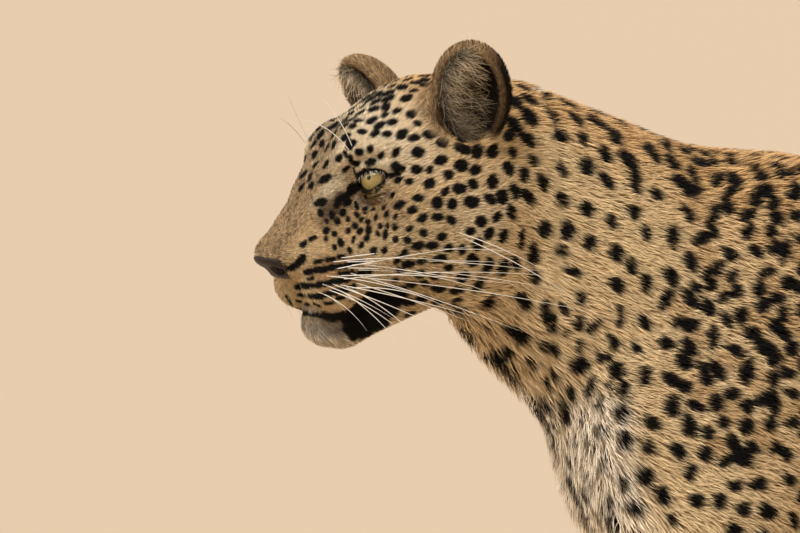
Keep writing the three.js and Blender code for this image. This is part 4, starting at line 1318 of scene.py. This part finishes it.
IRIS = srgb(156, 136, 82)
IRIS_RIM = srgb(70, 58, 34)
PUPIL = srgb(8, 7, 6)
SCLERA = srgb(60, 44, 34)
BALL_RADIUS = EYE_RADIUS * 0.985
CORNEA_BULGE = 0.045
RINGS, SPOKES = 64, 96


# The eye's colour by the angle from its gaze in degrees, with the shadow of the upper lid
def eye_colour(where, turn, height, side):
    fibre = 0.5 + 0.5 * noise(np.stack([turn * 22, where * 0.5, where * 0 + side], axis=1), 1.0, 41)
    colour = mix(IRIS * (0.72 + 0.4 * fibre[:, None]), IRIS_RIM, smooth(35, 42, where))
    colour = mix(colour, IRIS * 1.15, 0.5 * smooth(22, 14, where))
    colour = mix(PUPIL, colour, smooth(7.2, 8.4, where))
    colour = mix(colour, SCLERA, smooth(43, 48, where))
    return colour * (1 - 0.6 * smooth(0.02, 0.42, height / EYE_RADIUS))


def add_eyes():
    look = eye_material()
    lift = math.radians(EYE_LIFT)
    polar = np.linspace(0, math.pi, RINGS + 1)[1:-1]
    turn = np.arange(SPOKES) * 2 * math.pi / SPOKES
    a, b = [g.ravel() for g in np.meshgrid(polar, turn, indexing="ij")]
    bulge = 1 + CORNEA_BULGE * smooth(0.72, 0.0, a)
    ball = np.stack([np.sin(a) * np.cos(b), np.sin(a) * np.sin(b), np.cos(a)], axis=1)
    ball = np.vstack([ball * (BALL_RADIUS * bulge)[:, None],
                      [[0, 0, BALL_RADIUS * (1 + CORNEA_BULGE)], [0, 0, -BALL_RADIUS]]])
    where = np.degrees(np.concatenate([a, [0, math.pi]]))
    grid = np.arange((RINGS - 1) * SPOKES).reshape(RINGS - 1, SPOKES)
    after = np.roll(grid, -1, axis=1)
    quads = np.stack([grid[:-1], grid[1:], after[1:], after[:-1]], axis=-1).reshape(-1, 4)
    front = np.stack([np.full(SPOKES, len(ball) - 2), grid[0], after[0]], axis=1)
    rear = np.stack([np.full(SPOKES, len(ball) - 1), after[-1], grid[-1]], axis=1)
    for name, side in (("left", -1), ("right", 1)):
        gaze = unit(vec(GAZE[0], GAZE[1] * side, 0) * math.cos(lift) + vec(0, 0, math.sin(lift)))
        across = unit(np.cross(vec(0, 0, 1), gaze))
        up = np.cross(gaze, across)
        colour = eye_colour(where, np.concatenate([b, [0, 0]]), ball[:, 1:2], side)
        points = vec(EYE_AT[0], EYE_AT[1] * side, EYE_AT[2]) + ball @ np.array([across, up, gaze])
        eye = mesh_object(f"eyeball_{name}", out_of(HEAD_FRAME, points), [quads, np.vstack([front, rear])],
                          look, colour)
        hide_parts(f"eye_{name}")


add_eyes()


# The nose leather, a shield on the end of the muzzle with the nostrils cut into it
SHIELD = [(-19, 3), (-10, 5), (0, 5.5), (10, 5), (19, 3), (20, -3), (13, -12), (5, -17), (3, -26),
          (-3, -26), (-5, -17), (-13, -12), (-20, -3)]


def outside_shield(h):
    outline = np.array(SHIELD, dtype=np.float64)
    q = h[:, 1:]
    best = np.full(len(q), 1e9)
    inside = np.zeros(len(q), dtype=bool)
    for a, b in zip(outline, np.roll(outline, -1, axis=0)):
        t = np.clip(((q - a) @ (b - a)) / ((b - a) @ (b - a)), 0, 1)
        best = np.minimum(best, np.linalg.norm(q - a - t[:, None] * (b - a), axis=1))
        crosses = (a[1] > q[:, 1]) != (b[1] > q[:, 1])
        fall = 1 if b[1] == a[1] else b[1] - a[1]
        inside ^= crosses & (q[:, 0] < (b[0] - a[0]) * (q[:, 1] - a[1]) / fall + a[0])
    return np.where(inside, -best, best)


def leather():
    made, nodes, links, shader = material("nose_leather", 0.5, 0.3)
    pebble = texture(nodes, links, "ShaderNodeTexVoronoi", 900)
    cloud = texture(nodes, links, "ShaderNodeTexNoise", 120)
    ramp = nodes.new("ShaderNodeValToRGB")
    ramp.color_ramp.elements[0].color = (*srgb(17, 12, 10), 1)
    ramp.color_ramp.elements[1].color = (*srgb(56, 41, 34), 1)
    links.new(cloud.outputs["Fac"], ramp.inputs["Fac"])
    links.new(ramp.outputs["Color"], shader.inputs["Base Color"])
    add_bump(nodes, links, shader, pebble.outputs["Distance"], 0.6, 0.0005)
    return made


def add_nose():
    rulers = [ruler((-4, 0.9), (40,)), ruler((-26, 0.9), (26,)), ruler((-32, 0.9), (16,))]
    grid = np.stack(np.meshgrid(*rulers, indexing="ij"), axis=-1).reshape(-1, 3)
    d = head_flesh(grid) + 0.3
    d = carve(d, -(outside_shield(grid) + 0.6), 2.5)
    d = np.maximum(d, grid[:, 0] - 31)
    d = carve(d, nostrils(grid), 1.2)
    d = carve(d, near_chain(grid, [(-4, 0, -2), (2, 0, -14), (14, 0, -26)], 0.5, 0.5), 2)
    points, quads = nets(rulers, d.reshape([len(x) for x in rulers]))
    nose = mesh_object("nose_leather", out_of(HEAD_FRAME, points), [quads], leather())
    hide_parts("nose_pad")


add_nose()


# Long tapered hairs as thin tubes through the given points
def strand(points, radius, sides=4):
    steps = len(points)
    tangent = unit(np.gradient(points, axis=0))
    side = unit(np.cross(tangent, vec(0.2, 0.3, 0.93)))
    other = np.cross(tangent, side)
    taper = radius * (1 - np.linspace(0, 1, steps) ** 1.6 * 0.94)
    made = []
    for s in range(sides):
        angle = 2 * math.pi * s / sides
        made.append(points + (side * math.cos(angle) + other * math.sin(angle)) * taper[:, None])
    ring = np.stack(made, axis=1).reshape(-1, 3)
    faces = []
    for i in range(steps - 1):
        for s in range(sides):
            a, b = i * sides + s, i * sides + (s + 1) % sides
            faces.append((a, b, b + sides, a + sides))
    return ring, np.array(faces)


def bundle(name, strands, radius, look):
    points, faces, start = [], [], 0
    for line in strands:
        p, f = strand(line, radius)
        points.append(p)
        faces.append(f + start)
        start += len(p)
    return mesh_object(name, np.vstack(points), [np.vstack(faces)], look)


# Whiskers: roots and tips as pixels of the photograph, with how far each stands out from the cheek
WHISKERS = [
    ((341, 258), (527, 253), 8), ((346, 262), (543, 272), 9), ((352, 265), (508, 263), 6),
    ((350, 273), (519, 331), 8), ((344, 279), (557, 277), 10), ((354, 277), (594, 313), 9),
    ((336, 269), (474, 246), 6), ((358, 270), (500, 297), 7), ((340, 285), (482, 319), 6),
    ((332, 284), (452, 334), 5), ((346, 287), (430, 352), 4), ((326, 276), (430, 300), 7),
    ((348, 268), (560, 291), 8), ((356, 283), (470, 322), 6), ((338, 276), (520, 286), 9),
    ((329, 290), (412, 341), 4), ((343, 292), (400, 346), 3), ((333, 262), (455, 262), 6),
    ((360, 264), (470, 281), 6), ((322, 284), (392, 318), 4), ((352, 288), (452, 311), 5),
    ((318, 292), (366, 330), 3), ((310, 288), (345, 312), 3), ((461, 237), (592, 312), 4),
    ((456, 232), (552, 276), 4), ((352, 146), (322, 98), 8), ((349, 150), (300, 120), 8),
]


def hair_material():
    made, nodes, links, shader = material("whisker_hair", 0.35, 0.5)
    shader.inputs["Base Color"].default_value = (*srgb(246, 240, 228), 1)
    return made


# Whiskers end no farther to the animal's left than this
FARTHEST_LEFT = -146
WHISKER_RADIUS, LASH_RADIUS = 0.44, 0.11


def add_whiskers(look):
    strands = []
    for root, tip, out in WHISKERS:
        at = on_skin(root)
        if at is None:
            continue
        h = into(HEAD_FRAME, at)
        tip_at = at + (between_pixels(root, tip) + TO_CAMERA * out)
        tip_at = tip_at - TO_CAMERA * max(0.0, (FARTHEST_LEFT - tip_at[1]) / -TO_CAMERA[1])
        end = into(HEAD_FRAME, tip_at)
        sag = rng.uniform(2, 26)
        for flip in (1, -1):
            a, b = h * vec(1, flip, 1), end * vec(1, flip, 1)
            t = np.linspace(0, 1, 14)[:, None]
            line = a + (b - a) * t + vec(0, -flip * 12, sag) * (t * (1 - t))
            strands.append(out_of(HEAD_FRAME, line))
    bundle("whiskers", strands, WHISKER_RADIUS, look)


# Short pale lashes along the upper lid
LASHES = 24


def add_lashes(look):
    strands = []
    for side in (1, -1):
        for _ in range(LASHES):
            x = rng.uniform(-11, 12)
            y = ALMOND["upper"] * (1 - (x / ALMOND["half"]) ** 2) ** 0.8
            y = y + ALMOND["lift"] * x / ALMOND["half"] + 1
            root = vec(x, y, math.sqrt((EYE_RADIUS + 2) ** 2 - x * x - y * y))
            toward = unit(vec(rng.uniform(0.1, 0.9), -rng.uniform(0.1, 0.6), rng.uniform(0.5, 0.9)))
            t = np.linspace(0, 1, 5)[:, None]
            line = root + toward * rng.uniform(3.5, 6.5) * t + vec(0.3, -1.6, 0) * t * t
            strands.append(out_of(HEAD_FRAME, out_of(EYE_FRAME, line) * vec(1, side, 1)))
    bundle("lashes", strands, LASH_RADIUS, look)


pale_hair = hair_material()
add_whiskers(pale_hair)
add_lashes(pale_hair)


# Long pale hair inside the ears, rooted along the front rim and the floor of the cup, with painted shade
# towards the roots and the cup's floor
EAR_HAIRS = 1500
EAR_HAIR_STEPS = 7


def add_ear_hair():
    points, colours, uvs = [], [], []
    steps = EAR_HAIR_STEPS
    for side, placing in EARS.values():
        for _ in range(EAR_HAIRS):
            front = rng.random() < 0.7
            angle = rng.uniform(0.1, 2.9) if front else rng.uniform(-0.5, 3.3)
            out = rng.uniform(0.82, 1.02) if front else rng.uniform(0.2, 0.85)
            root = vec(-2 if front else -19 + 12 * out, 25 * math.sin(angle) * out * side,
                       38 - 39 * math.cos(angle) * out)
            toward = vec(rng.uniform(-0.1, 0.4), -side * rng.uniform(0.2, 1.0), rng.uniform(0, 1.0))
            toward = unit(toward + 0.15 * rng.normal(size=3))
            curl = unit(vec(rng.uniform(-0.6, 0.1), -side * rng.uniform(-0.3, 0.8), rng.uniform(-1.2, 0.3)))
            length = rng.uniform(7, 21)
            t = np.linspace(0, 1, steps)[:, None]
            line = root + toward * length * t + curl * length * 0.75 * t * t
            line += 0.9 * np.sin(t * rng.uniform(3, 8) + rng.uniform(0, 6)) * unit(rng.normal(size=3))
            across = unit(np.cross(line[-1] - line[0], vec(1, 0, 0.1))) * rng.uniform(0.12, 0.26)
            taper = 1 - 0.85 * t ** 2
            strip = np.stack([line - across * taper, line + across * taper], axis=1).reshape(-1, 3)
            points.append(out_of(HEAD_FRAME, out_of(placing, strip)))
            tone = mix(CREAM, GRIZZLE, rng.random() ** 1.5) * rng.uniform(0.45, 1.1)
            # Painted shade: hairs rooted low in the cup, on the left ear and near their roots are darker; the
            # right ear's are lighter
            tone = tone * (0.6 + 0.8 * smooth(0, 60, root[2])) * (1 if side < 0 else 1.4)
            colours.append(np.repeat(tone * (0.06 + 1.15 * t * t), 2, axis=0))
            patch = np.stack([np.tile([0.0, 1.0], steps), np.repeat(t[:, 0], 2)], axis=1) * PATCH
            where = vec(0.25 + 0.5 * (side > 0) + root[1] / 160, 0.1 + (root[2] + 10) / 130)
            uvs.append(where + patch)
    strip_faces = np.array([[2 * i, 2 * i + 1, 2 * i + 3, 2 * i + 2] for i in range(steps - 1)])
    faces = (np.arange(len(points))[:, None, None] * 2 * steps + strip_faces[None]).reshape(-1, 4)
    mesh_object("coat_ears", np.vstack(points), [faces], COAT, np.vstack(colours), np.vstack(uvs))


add_ear_hair()


# Studio: a plain pale floor, soft lights and the photograph's camera
FLOOR_HALF = 60
SENSOR, IMAGE_WIDTH = 36, 800
# Each light's name, the direction it comes from, its strength and its width in degrees
LIGHTS = [
    ("key", (-0.55, -0.5, 0.9), 2.6, 30),
    ("rim", (0.8, 0.7, 0.8), 1.2, 60),
    ("front", (-1.0, 0.15, 0.45), 0.9, 40),
]


# An object in the scene, with its own Z axis turned towards a direction where one is given
def in_scene(name, data, toward=None):
    made = bpy.data.objects.new(name, data)
    if toward is not None:
        made.rotation_euler = Vector(toward).to_track_quat("Z", "Y").to_euler()
    bpy.context.scene.collection.objects.link(made)
    return made


def add_stage():
    made, nodes, links, shader = material("floor_matte", 0.9, 0.2)
    shader.inputs["Base Color"].default_value = (*srgb(196, 175, 150), 1)
    mesh = bpy.data.meshes.new("floor")
    corners = [(x * FLOOR_HALF, y * FLOOR_HALF, 0) for x, y in ((-1, -1), (1, -1), (1, 1), (-1, 1))]
    mesh.from_pydata(corners, [], [(0, 1, 2, 3)])
    mesh.materials.append(made)
    floor = in_scene("floor", mesh)
    world = bpy.data.worlds.new("studio")
    bpy.context.scene.world = world
    world.use_nodes = True
    sky = world.node_tree.nodes["Background"]
    sky.inputs["Color"].default_value = (*srgb(226, 212, 194), 1)
    sky.inputs["Strength"].default_value = 0.6
    for name, direction, power, angle in LIGHTS:
        light = bpy.data.lights.new(name, "SUN")
        light.energy = power
        light.angle = math.radians(angle)
        in_scene(name, light, direction)
    camera = bpy.data.cameras.new("camera")
    camera.sensor_width = SENSOR
    camera.lens = SENSOR * CAMERA_DISTANCE / (IMAGE_WIDTH * PIXEL)
    camera.clip_end = 200
    holder = in_scene("camera", camera, TO_CAMERA)
    holder.location = placed(CAMERA_AT)
    bpy.context.scene.camera = holder
    bpy.context.scene.view_settings.view_transform = "Standard"


add_stage()
